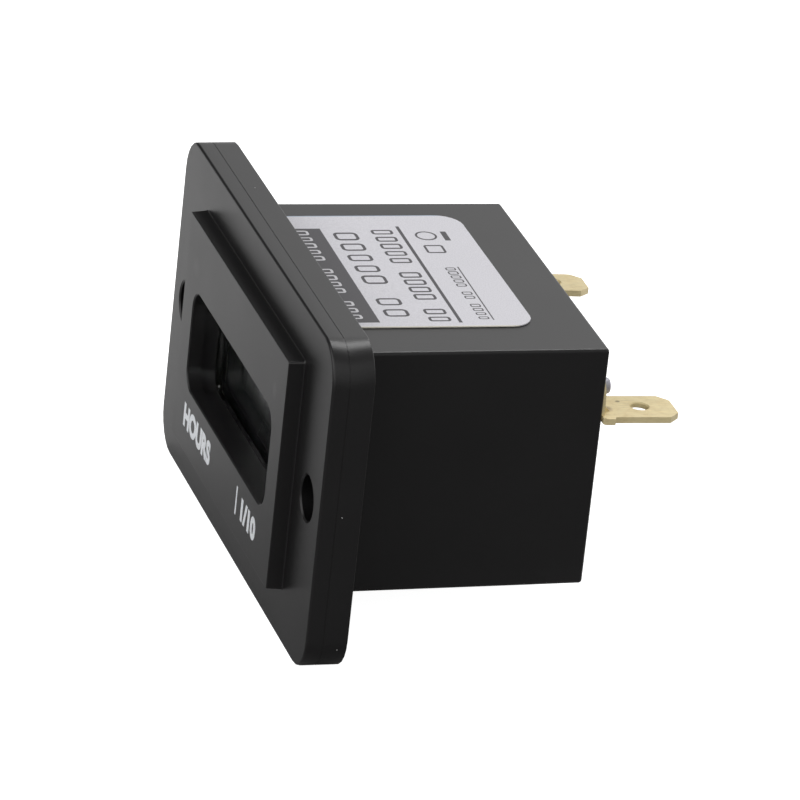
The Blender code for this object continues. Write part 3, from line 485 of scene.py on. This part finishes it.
labelPrint = {
    "color": (0.74, 0.73, 0.775),
    "rimWidth": 0.14 * mm,
    "rimColor": (0.83, 0.8, 0.7),  # at the right edge
    "farShadeColor": (0.42, 0.5, 0.62),  # painted bluish shade along the left edge
}


def makeLabelFinish():
    made, tree, shader, coords = startMaterial("labelFilm")
    grain = placeGroup(tree, "grain", (-600, 0), coords, {
        "Color": labelPrint["color"], "Grain Size": 0.12 * mm, "Patch Size": 6 * mm, "Patch Depth": 0.05,
        "Roughness": 0.42, "Roughness Range": 0.06})
    middle = (labelBox[0] + labelBox[1]) / 2
    half = (labelBox[1] - labelBox[0]) / 2
    offset = addNode(tree, "ShaderNodeVectorMath", (-700, 300), operation="SUBTRACT")
    link(tree, coords, offset.inputs[0])
    offset.inputs[1].default_value = middle
    parts = addNode(tree, "ShaderNodeSeparateXYZ", (-380, 300))
    link(tree, offset.outputs["Vector"], parts.inputs[0])
    rimStart = half.x - labelPrint["rimWidth"]
    nearEdge = mathNode(tree, "GREATER_THAN", (-200, 300), parts.outputs["X"], rimStart)
    farEdge = mathNode(tree, "LESS_THAN", (-200, 500), parts.outputs["X"], -rimStart)
    rim = mixColor(tree, (100, 200), nearEdge, grain.outputs["Color"], labelPrint["rimColor"])
    # painted bluish shade along the label's left edge
    rim = mixColor(tree, (280, 200), farEdge, rim, labelPrint["farShadeColor"])
    link(tree, rim, shader.inputs["Base Color"])
    link(tree, grain.outputs["Roughness"], shader.inputs["Roughness"])
    addBump(tree, shader, grain.outputs["Height"], 0.05, 0.01 * mm)
    return made


madeFinishes.update({name: clearFinish(name, values) for name, values in clearPieces.items()})
madeFinishes["stripedElastomer"] = makeElastomerFinish()
madeFinishes["boardLaminate"] = makeBoardFinish()
madeFinishes["labelFilm"] = makeLabelFinish()

nodeFinishes = {
    "front_bezel": "blackPlastic", "rear_case": "blackPlastic", "window_lens": "clearLens",
    "lcd_front_film": "filmPolariser", "lcd_rear_film": "filmPolariser",
    "lcd_front_glass": "displayGlass", "lcd_rear_glass": "displayGlass", "lcd_holder": "whitePlastic",
    "upper_elastomer": "stripedElastomer", "lower_elastomer": "stripedElastomer",
    "display_board": "boardLaminate", "power_board": "boardLaminate", "controller_chip": "blackResin",
    "memory_chip": "blackResin", "quartz_crystal": "platedSteel", "dropper_capacitor": "yellowCase",
    "bridge_rectifier": "blackResin", "smoothing_capacitor": "canSleeve",
    "fusible_resistor": "resistorLacquer", "surge_varistor": "varistorCoat", "board_header": "blackResin",
    "left_terminal": "brassStrip", "right_terminal": "brassStrip", "left_rivet": "platedSteel",
    "right_rivet": "platedSteel", "left_solder_lug": "brassStrip", "right_solder_lug": "brassStrip",
    "left_lead_wire": "blueSleeve", "right_lead_wire": "redSleeve", "rating_label": "labelFilm",
}
smoothing = {
    "mergeDistance": 0.001 * mm,
    "sharpAngle": math.radians(35),
    "plainNodes": ["lcd_front_film", "lcd_rear_film", "lcd_front_glass", "lcd_rear_glass", "lcd_holder",
                   "upper_elastomer", "lower_elastomer", "display_board", "power_board", "controller_chip",
                   "memory_chip", "dropper_capacitor", "bridge_rectifier", "board_header"],
}
lensDish = {
    "depth": 0.5 * mm,  # the pane is thinner inside its rim
    "rim": 0.3 * mm,
}


def dishFront(work):
    front = min(v.co.y for v in work.verts)
    reach = front + smoothing["mergeDistance"]
    faces = [face for face in work.faces if all(v.co.y < reach for v in face.verts)]
    bmesh.ops.inset_region(work, faces=faces, thickness=lensDish["rim"], use_even_offset=True)
    for vert in {v for face in faces for v in face.verts}:
        vert.co.y += lensDish["depth"]


def smoothCopy(nodeName):
    # The solid's own shape, with its round surfaces shaded as round
    work = bmesh.new()
    work.from_mesh(nodes[nodeName].data)
    bmesh.ops.remove_doubles(work, verts=work.verts, dist=smoothing["mergeDistance"])
    if nodeName == "window_lens":
        dishFront(work)
    mesh = bpy.data.meshes.new(nodeName + "_surface")
    work.to_mesh(mesh)
    work.free()
    if "custom_normal" in mesh.attributes:
        mesh.attributes.remove(mesh.attributes["custom_normal"])
    mesh.shade_smooth()
    mesh.set_sharp_from_angle(angle=smoothing["sharpAngle"])
    holder = bpy.data.objects.new(nodeName + "_source", mesh)
    bpy.context.scene.collection.objects.link(holder)
    even = holder.modifiers.new("even", "WEIGHTED_NORMAL")
    even.keep_sharp = True
    even.weight = 100
    graph = bpy.context.evaluated_depsgraph_get()
    done = bpy.data.meshes.new_from_object(holder.evaluated_get(graph), preserve_all_data_layers=True,
                                           depsgraph=graph)
    bpy.data.objects.remove(holder)
    return done


def addPiece(name, mesh, finish):
    piece = bpy.data.objects.new(name, mesh)
    bpy.context.scene.collection.objects.link(piece)
    mesh.materials.clear()
    mesh.materials.append(madeFinishes[finish])
    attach(piece, "root")
    return piece


for nodeName, finishName in nodeFinishes.items():
    slots = nodes[nodeName].data.materials
    slots.clear()
    slots.append(madeFinishes[finishName])
    if nodeName not in smoothing["plainNodes"]:
        surface = addPiece(nodeName + "_surface", smoothCopy(nodeName), finishName)
        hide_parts(nodeName)
print("finishes given to", len(nodeFinishes), "nodes")


# Pieces added on the frame

legends = {
    "thickness": 0.02 * mm,
    "bold": 0.055,  # extra weight of the strokes, as a share of the letter height
    "words": [
        {"name": "hours_legend", "text": "HOURS", "left": -13.8 * mm, "right": -3.95 * mm,
         "low": 5.12 * mm, "high": 7.52 * mm},
        {"name": "tenths_legend", "text": "1/10", "left": 7.5 * mm, "right": 12.6 * mm,
         "low": 5.02 * mm, "high": 7.3 * mm},
    ],
    "tick": {"name": "tick_legend", "left": 5.62 * mm, "right": 5.98 * mm,
             "low": 4.85 * mm, "high": 7.64 * mm},
}


def printWord(word):
    curve = bpy.data.curves.new(word["name"], "FONT")
    curve.body = word["text"]
    curve.size = 1.0
    curve.offset = legends["bold"]
    curve.extrude = 0.5
    curve.resolution_u = 6
    holder = bpy.data.objects.new(word["name"] + "_source", curve)
    bpy.context.scene.collection.objects.link(holder)
    bpy.context.view_layer.update()
    graph = bpy.context.evaluated_depsgraph_get()
    mesh = bpy.data.meshes.new_from_object(holder.evaluated_get(graph))
    bpy.data.objects.remove(holder)
    xs = [v.co.x for v in mesh.vertices]
    ys = [v.co.y for v in mesh.vertices]
    wide = (word["right"] - word["left"]) / (max(xs) - min(xs))
    tall = (word["high"] - word["low"]) / (max(ys) - min(ys))
    for v in mesh.vertices:
        x = word["left"] + (v.co.x - min(xs)) * wide
        z = word["low"] + (v.co.y - min(ys)) * tall
        v.co = (x, facePlane - v.co.z * legends["thickness"], z)
    addPiece(word["name"], mesh, "legendInk")


def boxMesh(name, low, high):
    mesh = bpy.data.meshes.new(name)
    work = bmesh.new()
    bmesh.ops.create_cube(work, size=1.0)
    for v in work.verts:
        v.co = [low[i] + (v.co[i] + 0.5) * (high[i] - low[i]) for i in range(3)]
    work.to_mesh(mesh)
    work.free()
    return mesh


for word in legends["words"]:
    printWord(word)
tick = legends["tick"]
addPiece(tick["name"], boxMesh(
    tick["name"], (tick["left"], facePlane - legends["thickness"] / 2, tick["low"]),
    (tick["right"], facePlane + legends["thickness"] / 2, tick["high"])), "legendInk")
print("legends printed on the raised frame")


# Rings: the weld in the parting line and the black mask behind the pane

weldSeam = {
    "gap": 0.1 * mm,
    "inset": 0.035 * mm,  # below the flange's surface
    "width": 0.5 * mm,
    "corner": 3.7 * mm,
}
windowMask = {
    "front": -1.43 * mm,
    "thickness": 0.04 * mm,
    "halfLength": 14.9 * mm,
    "halfHeight": 5.6 * mm,
    "width": 1.15 * mm,
    "corner": 1.2 * mm,
}


def roundedLoop(halfLength, halfHeight, corner, steps=12):
    points = []
    for quarter in range(4):
        side = 1 if quarter in (0, 3) else -1
        rise = 1 if quarter < 2 else -1
        for step in range(steps + 1):
            angle = math.pi / 2 * (quarter + step / steps)
            points.append((side * (halfLength - corner) + corner * math.cos(angle),
                           rise * (halfHeight - corner) + corner * math.sin(angle)))
    return points


def ringMesh(name, halfLength, halfHeight, corner, width, toPoint):
    # toPoint turns a place on the ring and a side, 0 or 1, into a point
    outer = roundedLoop(halfLength, halfHeight, corner)
    inner = roundedLoop(halfLength - width, halfHeight - width, max(corner - width, 0.02 * mm))
    work = bmesh.new()
    rings = [[work.verts.new(toPoint(a, b, side)) for a, b in loop]
             for loop, side in ((outer, 0), (outer, 1), (inner, 1), (inner, 0))]
    for one, other in zip(rings, rings[1:] + rings[:1]):
        for index in range(len(one)):
            after = (index + 1) % len(one)
            work.faces.new((one[index], one[after], other[after], other[index]))
    bmesh.ops.recalc_face_normals(work, faces=work.faces)
    mesh = bpy.data.meshes.new(name)
    work.to_mesh(mesh)
    work.free()
    return mesh


bezelLow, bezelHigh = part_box("front_bezel")
caseFront = min(v.co.y for v in nodes["rear_case"].data.vertices if abs(v.co.x) > bezelHigh.x - 0.01 * mm)
middleZ = (bezelLow.z + bezelHigh.z) / 2
addPiece("weld_seam", ringMesh(
    "weld_seam", (bezelHigh.x - bezelLow.x) / 2 - weldSeam["inset"],
    (bezelHigh.z - bezelLow.z) / 2 - weldSeam["inset"], weldSeam["corner"], weldSeam["width"],
    lambda x, z, side: (x, caseFront - weldSeam["gap"] * (1 - side), z + middleZ)),
    "blackPlastic")
addPiece("window_mask", ringMesh(
    "window_mask", windowMask["halfLength"], windowMask["halfHeight"], windowMask["corner"],
    windowMask["width"],
    lambda x, z, side: (x, windowMask["front"] + windowMask["thickness"] * side, z + middleZ)),
    "figureInk")
print("weld seam and window mask made")


# Rows of plain outlined marks on the label, each word of them made by one tree

def endTree(tree, entry, leave, copies):
    # Plain faces in one material
    solid = addNode(tree, "GeometryNodeRealizeInstances", (360, 200))
    link(tree, copies.outputs["Instances"], solid.inputs["Geometry"])
    colored = addNode(tree, "GeometryNodeSetMaterial", (540, 200))
    link(tree, solid.outputs["Geometry"], colored.inputs["Geometry"])
    link(tree, entry.outputs["Material"], colored.inputs["Material"])
    link(tree, colored.outputs["Geometry"], leave.inputs["Geometry"])


def makeRowTree():
    tree, entry, leave = newGroup("printedRow", "GeometryNodeTree", [
        ("Geometry", "NodeSocketGeometry", None), ("Length", "NodeSocketFloat", 20 * mm),
        ("Marks", "NodeSocketInt", 5), ("Least Width", "NodeSocketFloat", 0.8),
        ("Most Width", "NodeSocketFloat", 1.1),
        ("Seed", "NodeSocketInt", 1), ("Material", "NodeSocketMaterial", None)], [
        ("Geometry", "NodeSocketGeometry")])
    pitch = mathNode(tree, "DIVIDE", (-700, 100), entry.outputs["Length"], entry.outputs["Marks"])
    start = addNode(tree, "ShaderNodeCombineXYZ", (-500, 300))
    link(tree, mathNode(tree, "MULTIPLY", (-700, 300), pitch, 0.5), start.inputs["X"])
    step = addNode(tree, "ShaderNodeCombineXYZ", (-500, 150))
    link(tree, pitch, step.inputs["X"])
    line = addNode(tree, "GeometryNodeMeshLine", (-300, 200), mode="OFFSET")
    link(tree, entry.outputs["Marks"], line.inputs["Count"])
    link(tree, start.outputs[0], line.inputs["Start Location"])
    link(tree, step.outputs[0], line.inputs["Offset"])
    points = addNode(tree, "GeometryNodeMeshToPoints", (-100, 200))
    link(tree, line.outputs["Mesh"], points.inputs["Mesh"])
    fill = addNode(tree, "FunctionNodeRandomValue", (-300, -300), data_type="FLOAT")
    link(tree, entry.outputs["Least Width"], fill.inputs[2])
    link(tree, entry.outputs["Most Width"], fill.inputs[3])
    link(tree, entry.outputs["Seed"], fill.inputs["Seed"])
    size = addNode(tree, "ShaderNodeCombineXYZ", (0, -200), {"Y": 1.0, "Z": 1.0})
    link(tree, fill.outputs[1], size.inputs["X"])
    copies = addNode(tree, "GeometryNodeInstanceOnPoints", (200, 200))
    link(tree, points.outputs["Points"], copies.inputs["Points"])
    link(tree, entry.outputs["Geometry"], copies.inputs["Instance"])
    link(tree, size.outputs[0], copies.inputs["Scale"])
    endTree(tree, entry, leave, copies)
    return tree


def growMesh(name, tree, values, source):
    # What the tree makes of the source mesh, as a plain mesh
    holder = bpy.data.objects.new(name + "_source", source)
    bpy.context.scene.collection.objects.link(holder)
    grow = holder.modifiers.new("grow", "NODES")
    grow.node_group = tree
    for item in tree.interface.items_tree:
        if item.item_type == "SOCKET" and item.in_out == "INPUT" and item.name in values:
            grow[item.identifier] = values[item.name]
    holder.update_tag()
    bpy.context.view_layer.update()
    graph = bpy.context.evaluated_depsgraph_get()
    mesh = bpy.data.meshes.new_from_object(holder.evaluated_get(graph))
    mesh.name = name
    holder.modifiers.clear()
    bpy.data.objects.remove(holder)
    return mesh


labelRows = {
    "thickness": 0.02 * mm,
    "filmThickness": 0.1 * mm,  # of the label itself
    "skew": -0.0145,  # the print lies a little turned on the label
    "skewCenter": -5.9 * mm,
    "markShare": 0.72,  # of each letter's room
    "cornerShare": 0.6,  # of half a mark's width
    "widthRange": (0.8, 1.08),
    "band": {"left": -10.98 * mm, "right": 11.15 * mm, "front": 0.75 * mm, "back": 5.03 * mm},
    "rule": {"left": -11.4 * mm, "right": 11.33 * mm, "front": 12.5 * mm, "back": 12.82 * mm},
    "underline": {"left": -1.6 * mm, "right": 10.8 * mm, "front": 15.86 * mm, "back": 15.98 * mm},
    "bar": {"left": -10.1 * mm, "right": -7.95 * mm, "front": 16.5 * mm, "back": 17.05 * mm},
    "rows": [
        {"name": "label_band_marks", "ink": "paleInk", "left": -10.7 * mm, "right": 10.6 * mm,
         "front": 1.5 * mm, "back": 3.7 * mm, "words": (5, 4, 3), "stroke": 0.26 * mm, "seed": 4},
        {"name": "label_first_row", "ink": "labelInk", "left": -10.35 * mm, "right": 10.3 * mm,
         "front": 5.95 * mm, "back": 8.3 * mm, "words": (5, 2), "stroke": 0.3 * mm, "seed": 7},
        {"name": "label_second_row", "ink": "labelInk", "left": -10.9 * mm, "right": 11.35 * mm,
         "front": 9.8 * mm, "back": 11.9 * mm, "words": (5, 4, 2), "stroke": 0.26 * mm, "seed": 2},
        {"name": "label_small_row", "ink": "labelInk", "left": -1.6 * mm, "right": 10.8 * mm,
         "front": 14.6 * mm, "back": 15.6 * mm, "words": (5, 2, 4), "stroke": 0.13 * mm, "seed": 5},
    ],
    "marks": [
        {"name": "label_round_mark", "place": (-9.1 * mm, 14.9 * mm), "half": (1.05 * mm, 1.05 * mm),
         "corner": 1.05 * mm, "width": 0.2 * mm},
        {"name": "label_square_mark", "place": (-5.9 * mm, 14.9 * mm), "half": (0.95 * mm, 0.95 * mm),
         "corner": 0.3 * mm, "width": 0.22 * mm},
    ],
}


def labelTop(y):
    # The label's face falls towards the rear with the case
    share = (y - labelBox[0].y) / (labelBox[1].y - labelBox[0].y)
    fall = labelBox[1].z - labelBox[0].z - labelRows["filmThickness"]
    return labelBox[1].z - fall * share


def layOnLabel(mesh, left, middleY):
    for v in mesh.vertices:
        x, y, z = v.co
        x += left
        y += middleY + (x - labelRows["skewCenter"]) * labelRows["skew"]
        v.co = (x, y, labelTop(y) + z)


rowTree = makeRowTree()
for row in labelRows["rows"]:
    cells = sum(row["words"]) + len(row["words"]) - 1
    cell = (row["right"] - row["left"]) / cells
    thick = labelRows["thickness"] * (2 if row["ink"] == "paleInk" else 1)  # pale marks clear the band
    halfWide = cell * labelRows["markShare"] / 2
    joined = bmesh.new()
    start = 0.0
    for number, letters in enumerate(row["words"]):
        mark = ringMesh("mark_source", halfWide, (row["back"] - row["front"]) / 2,
                        halfWide * labelRows["cornerShare"], row["stroke"],
                        lambda x, y, side: (x, y, (side - 0.5) * thick))
        word = growMesh(row["name"] + "_word", rowTree, {
            "Length": letters * cell, "Marks": letters, "Least Width": labelRows["widthRange"][0],
            "Most Width": labelRows["widthRange"][1], "Seed": row["seed"] + number,
            "Material": madeFinishes[row["ink"]]}, mark)
        word.transform(Matrix.Translation((start, 0.0, 0.0)))
        joined.from_mesh(word)
        bpy.data.meshes.remove(word)
        start += (letters + 1) * cell
    mesh = bpy.data.meshes.new(row["name"])
    joined.to_mesh(mesh)
    joined.free()
    layOnLabel(mesh, row["left"], (row["front"] + row["back"]) / 2)
    addPiece(row["name"], mesh, row["ink"])
for key in ("band", "rule", "underline", "bar"):
    strip = labelRows[key]
    half = (strip["back"] - strip["front"]) / 2
    mesh = boxMesh("label_" + key, (0.0, -half, -labelRows["thickness"] / 2),
                   (strip["right"] - strip["left"], half, labelRows["thickness"] / 2))
    layOnLabel(mesh, strip["left"], strip["front"] + half)
    addPiece("label_" + key, mesh, "labelInk")
for mark in labelRows["marks"]:
    mesh = ringMesh(mark["name"], *mark["half"], mark["corner"], mark["width"],
                    lambda x, y, side: (x, y, (side - 0.5) * labelRows["thickness"]))
    layOnLabel(mesh, *mark["place"])
    addPiece(mark["name"], mesh, "labelInk")
print("label printed with plain rows")


# Figures of the display, switched off, so they are only faint

figures = {
    "count": 6,
    "pitch": 4.3 * mm,
    "width": 2.6 * mm,
    "height": 6.2 * mm,
    "stroke": 0.55 * mm,
    "gap": 0.12 * mm,
    "slant": 0.12,
    "thickness": 0.02 * mm,
}


def figureMesh():
    mesh = bpy.data.meshes.new("figure_source")
    work = bmesh.new()
    half, tall, stroke, gap = figures["width"] / 2, figures["height"] / 2, figures["stroke"], figures["gap"]
    inset = stroke / 2

    def bar(start, end):
        start, end = Vector(start), Vector(end)
        way = (end - start).normalized()
        side = Vector((-way.y, way.x)) * inset
        start, end = start + way * gap, end - way * gap
        outline = [start, start + way * inset + side, end - way * inset + side, end,
                   end - way * inset - side, start + way * inset - side]
        low = [work.verts.new((p.x + figures["slant"] * p.y, 0.0, p.y)) for p in outline]
        high = [work.verts.new((v.co.x, -figures["thickness"], v.co.z)) for v in low]
        work.faces.new(low[::-1])
        work.faces.new(high)
        for index in range(len(low)):
            after = (index + 1) % len(low)
            work.faces.new((low[index], low[after], high[after], high[index]))

    for z in (-tall, 0.0, tall):
        bar((-half, z), (half, z))
    for x in (-half, half):
        bar((x, -tall), (x, 0.0))
        bar((x, 0.0), (x, tall))
    bmesh.ops.recalc_face_normals(work, faces=work.faces)
    work.to_mesh(mesh)
    work.free()
    return mesh


def makeFigureTree():
    tree, entry, leave = newGroup("figureLine", "GeometryNodeTree", [
        ("Geometry", "NodeSocketGeometry", None), ("Count", "NodeSocketInt", 6),
        ("Pitch", "NodeSocketFloat", 4 * mm), ("Start", "NodeSocketVector", (0.0, 0.0, 0.0)),
        ("Material", "NodeSocketMaterial", None)], [("Geometry", "NodeSocketGeometry")])
    step = addNode(tree, "ShaderNodeCombineXYZ", (-500, 100))
    link(tree, entry.outputs["Pitch"], step.inputs["X"])
    line = addNode(tree, "GeometryNodeMeshLine", (-300, 100), mode="OFFSET")
    link(tree, entry.outputs["Count"], line.inputs["Count"])
    link(tree, entry.outputs["Start"], line.inputs["Start Location"])
    link(tree, step.outputs[0], line.inputs["Offset"])
    copies = addNode(tree, "GeometryNodeInstanceOnPoints", (-50, 100))
    link(tree, line.outputs["Mesh"], copies.inputs["Points"])
    link(tree, entry.outputs["Geometry"], copies.inputs["Instance"])
    endTree(tree, entry, leave, copies)
    return tree


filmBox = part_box("lcd_front_film")
figureStart = Vector((-(figures["count"] - 1) / 2 * figures["pitch"], filmBox[0].y,
                      (filmBox[0].z + filmBox[1].z) / 2))
figureLine = growMesh("display_figures", makeFigureTree(), {
    "Count": figures["count"], "Pitch": figures["pitch"], "Start": figureStart,
    "Material": madeFinishes["figureInk"]}, figureMesh())
addPiece("display_figures", figureLine, "figureInk")
print("display figures laid on the film")


# Bits of lint that the photo shows on the flange

lint = {
    "size": 0.11 * mm,
    "leastScale": 0.6,
    "mostScale": 1.3,
    "seed": 3,
    "places": [(26.49, -1.81, 13.91), (26.49, -0.96, 0.84), (-11.94, -1.25, 29.91)],  # in mm
}


def makeLintTree():
    tree, entry, leave = newGroup("lintBits", "GeometryNodeTree", [
        ("Geometry", "NodeSocketGeometry", None), ("Size", "NodeSocketFloat", 0.15 * mm),
        ("Least Scale", "NodeSocketFloat", 0.6), ("Most Scale", "NodeSocketFloat", 1.3),
        ("Seed", "NodeSocketInt", 3), ("Material", "NodeSocketMaterial", None)], [
        ("Geometry", "NodeSocketGeometry")])
    bit = addNode(tree, "GeometryNodeMeshIcoSphere", (-300, 0), {"Radius": 0.5, "Subdivisions": 1})
    scale = addNode(tree, "FunctionNodeRandomValue", (-500, -200), data_type="FLOAT")
    link(tree, entry.outputs["Least Scale"], scale.inputs[2])
    link(tree, entry.outputs["Most Scale"], scale.inputs[3])
    link(tree, entry.outputs["Seed"], scale.inputs["Seed"])
    copies = addNode(tree, "GeometryNodeInstanceOnPoints", (0, 100))
    link(tree, entry.outputs["Geometry"], copies.inputs["Points"])
    link(tree, bit.outputs["Mesh"], copies.inputs["Instance"])
    link(tree, mathNode(tree, "MULTIPLY", (-250, -200), scale.outputs[1], entry.outputs["Size"]),
         copies.inputs["Scale"])
    endTree(tree, entry, leave, copies)
    return tree


lintPoints = bpy.data.meshes.new("lint_points")
lintPoints.from_pydata([tuple(c * mm for c in place) for place in lint["places"]], [], [])
lintMesh = growMesh("lint_bits", makeLintTree(), {
    "Size": lint["size"], "Least Scale": lint["leastScale"], "Most Scale": lint["mostScale"],
    "Seed": lint["seed"], "Material": madeFinishes["flecks"]}, lintPoints)
addPiece("lint_bits", lintMesh, "flecks")
print("lint laid on the flange")


# Floor, lamps, world and camera

def buildFloor():
    mesh = bpy.data.meshes.new("floor")
    half = studio["floorSize"] / 2
    z = flangeBottom - studio["floorDrop"]
    corners = [(-half, -half, z), (half, -half, z), (half, half, z), (-half, half, z)]
    mesh.from_pydata(corners, [], [(0, 1, 2, 3)])
    floor = bpy.data.objects.new("floor", mesh)
    bpy.context.scene.collection.objects.link(floor)
    made = bpy.data.materials.new("paleFloor")
    made.use_nodes = True
    tree = made.node_tree
    tree.nodes.clear()
    rays = addNode(tree, "ShaderNodeLightPath", (-900, 200))
    seen = mathNode(tree, "MAXIMUM", (-700, 200), rays.outputs["Is Camera Ray"],
                    rays.outputs["Is Transmission Ray"])
    coords = addNode(tree, "ShaderNodeTexCoord", (-1100, -100))
    sides = addNode(tree, "ShaderNodeSeparateXYZ", (-900, -100))
    link(tree, coords.outputs["Object"], sides.inputs[0])
    # painted shade: for reflections and bounced light the floor's colour darkens towards the right and front
    turned = mathNode(tree, "MULTIPLY_ADD", (-700, -100), sides.outputs["Y"], studio["shadeTurn"],
                      sides.outputs["X"])
    fading = spread(tree, (-500, -100), turned, studio["shadeStart"], studio["shadeEnd"], 0.0, 1.0)
    rightPart = spread(tree, (-500, -300), sides.outputs["X"], studio["rightStart"], studio["rightEnd"],
                       0.0, 1.0)
    shaded = mathNode(tree, "MAXIMUM", (-320, -200), fading, rightPart)
    graded = spread(tree, (-180, -200), shaded, 0.0, 1.0, studio["nearTone"], studio["shadeTone"])
    tone = addNode(tree, "ShaderNodeMix", (-450, 0), {"B": studio["floorTone"]}, data_type="FLOAT")
    link(tree, seen, tone.inputs[0])
    link(tree, graded, tone.inputs[2])
    shade = addNode(tree, "ShaderNodeCombineColor", (-250, 0))
    for channel in range(3):
        link(tree, tone.outputs[0], shade.inputs[channel])
    diffuse = addNode(tree, "ShaderNodeBsdfDiffuse", (0, 0))
    link(tree, shade.outputs[0], diffuse.inputs["Color"])
    glow = addNode(tree, "ShaderNodeEmission", (0, 200))
    link(tree, mathNode(tree, "MULTIPLY", (-200, 200), seen, studio["floorGlow"]), glow.inputs["Strength"])
    both = addNode(tree, "ShaderNodeAddShader", (200, 100))
    link(tree, diffuse.outputs[0], both.inputs[0])
    link(tree, glow.outputs[0], both.inputs[1])
    output = addNode(tree, "ShaderNodeOutputMaterial", (400, 100))
    link(tree, both.outputs[0], output.inputs["Surface"])
    mesh.materials.append(made)


def buildWorld():
    # White for the camera and through glass, graded from bright to dark in reflections
    world = bpy.data.worlds.new("studio")
    bpy.context.scene.world = world
    world.use_nodes = True
    tree = world.node_tree
    tree.nodes.clear()
    rays = addNode(tree, "ShaderNodeLightPath", (-800, 300))
    coords = addNode(tree, "ShaderNodeTexCoord", (-800, -100))
    side = addNode(tree, "ShaderNodeVectorMath", (-600, -100), operation="DOT_PRODUCT")
    link(tree, coords.outputs["Generated"], side.inputs[0])
    side.inputs[1].default_value = Vector(studio["brightSide"]).normalized()
    graded = spread(tree, (-400, -100), side.outputs["Value"], studio["darkEnd"], studio["brightEnd"],
                    studio["darkTone"], studio["brightTone"])
    white = mathNode(tree, "MAXIMUM", (-400, 300), rays.outputs["Is Camera Ray"],
                     rays.outputs["Is Transmission Ray"])
    tone = addNode(tree, "ShaderNodeMix", (-100, 0), {"A": studio["ambient"]}, data_type="FLOAT")
    link(tree, rays.outputs["Is Glossy Ray"], tone.inputs[0])
    link(tree, graded, tone.inputs[3])
    strength = addNode(tree, "ShaderNodeMix", (150, 0), {"B": 1.0}, data_type="FLOAT")
    link(tree, white, strength.inputs[0])
    link(tree, tone.outputs[0], strength.inputs[2])
    sky = addNode(tree, "ShaderNodeBackground", (400, 0), {"Color": (1.0, 1.0, 1.0, 1.0)})
    link(tree, strength.outputs[0], sky.inputs["Strength"])
    output = addNode(tree, "ShaderNodeOutputWorld", (650, 0))
    link(tree, sky.outputs[0], output.inputs["Surface"])


def buildLamps():
    target = Vector(studio["lampTarget"])
    for lamp in studio["lamps"]:
        light = bpy.data.lights.new(lamp["name"], "AREA")
        light.shape = "SQUARE"
        light.size = lamp["size"]
        light.energy = lamp["power"]
        holder = bpy.data.objects.new(lamp["name"], light)
        bpy.context.scene.collection.objects.link(holder)
        holder.location = target + Vector(lamp["place"])
        holder.rotation_euler = (target - holder.location).to_track_quat("-Z", "Y").to_euler()


def buildCamera():
    data = bpy.data.cameras.new("photoCamera")
    data.sensor_width = cameraSettings["sensor"]
    data.lens = cameraSettings["lens"]
    data.clip_start = cameraSettings["clipStart"]
    data.clip_end = cameraSettings["clipEnd"]
    camera = bpy.data.objects.new("photoCamera", data)
    bpy.context.scene.collection.objects.link(camera)
    right, down, forward = (Vector(cameraSettings[key]) for key in ("right", "down", "forward"))
    turn = Matrix((right, -down, -forward)).transposed()
    camera.matrix_world = Matrix.Translation(cameraSettings["place"]) @ turn.to_4x4()
    bpy.context.scene.camera = camera


buildFloor()
buildWorld()
buildLamps()
buildCamera()
bpy.context.scene.view_settings.view_transform = "Standard"
print("studio ready")

bpy.context.view_layer.update()
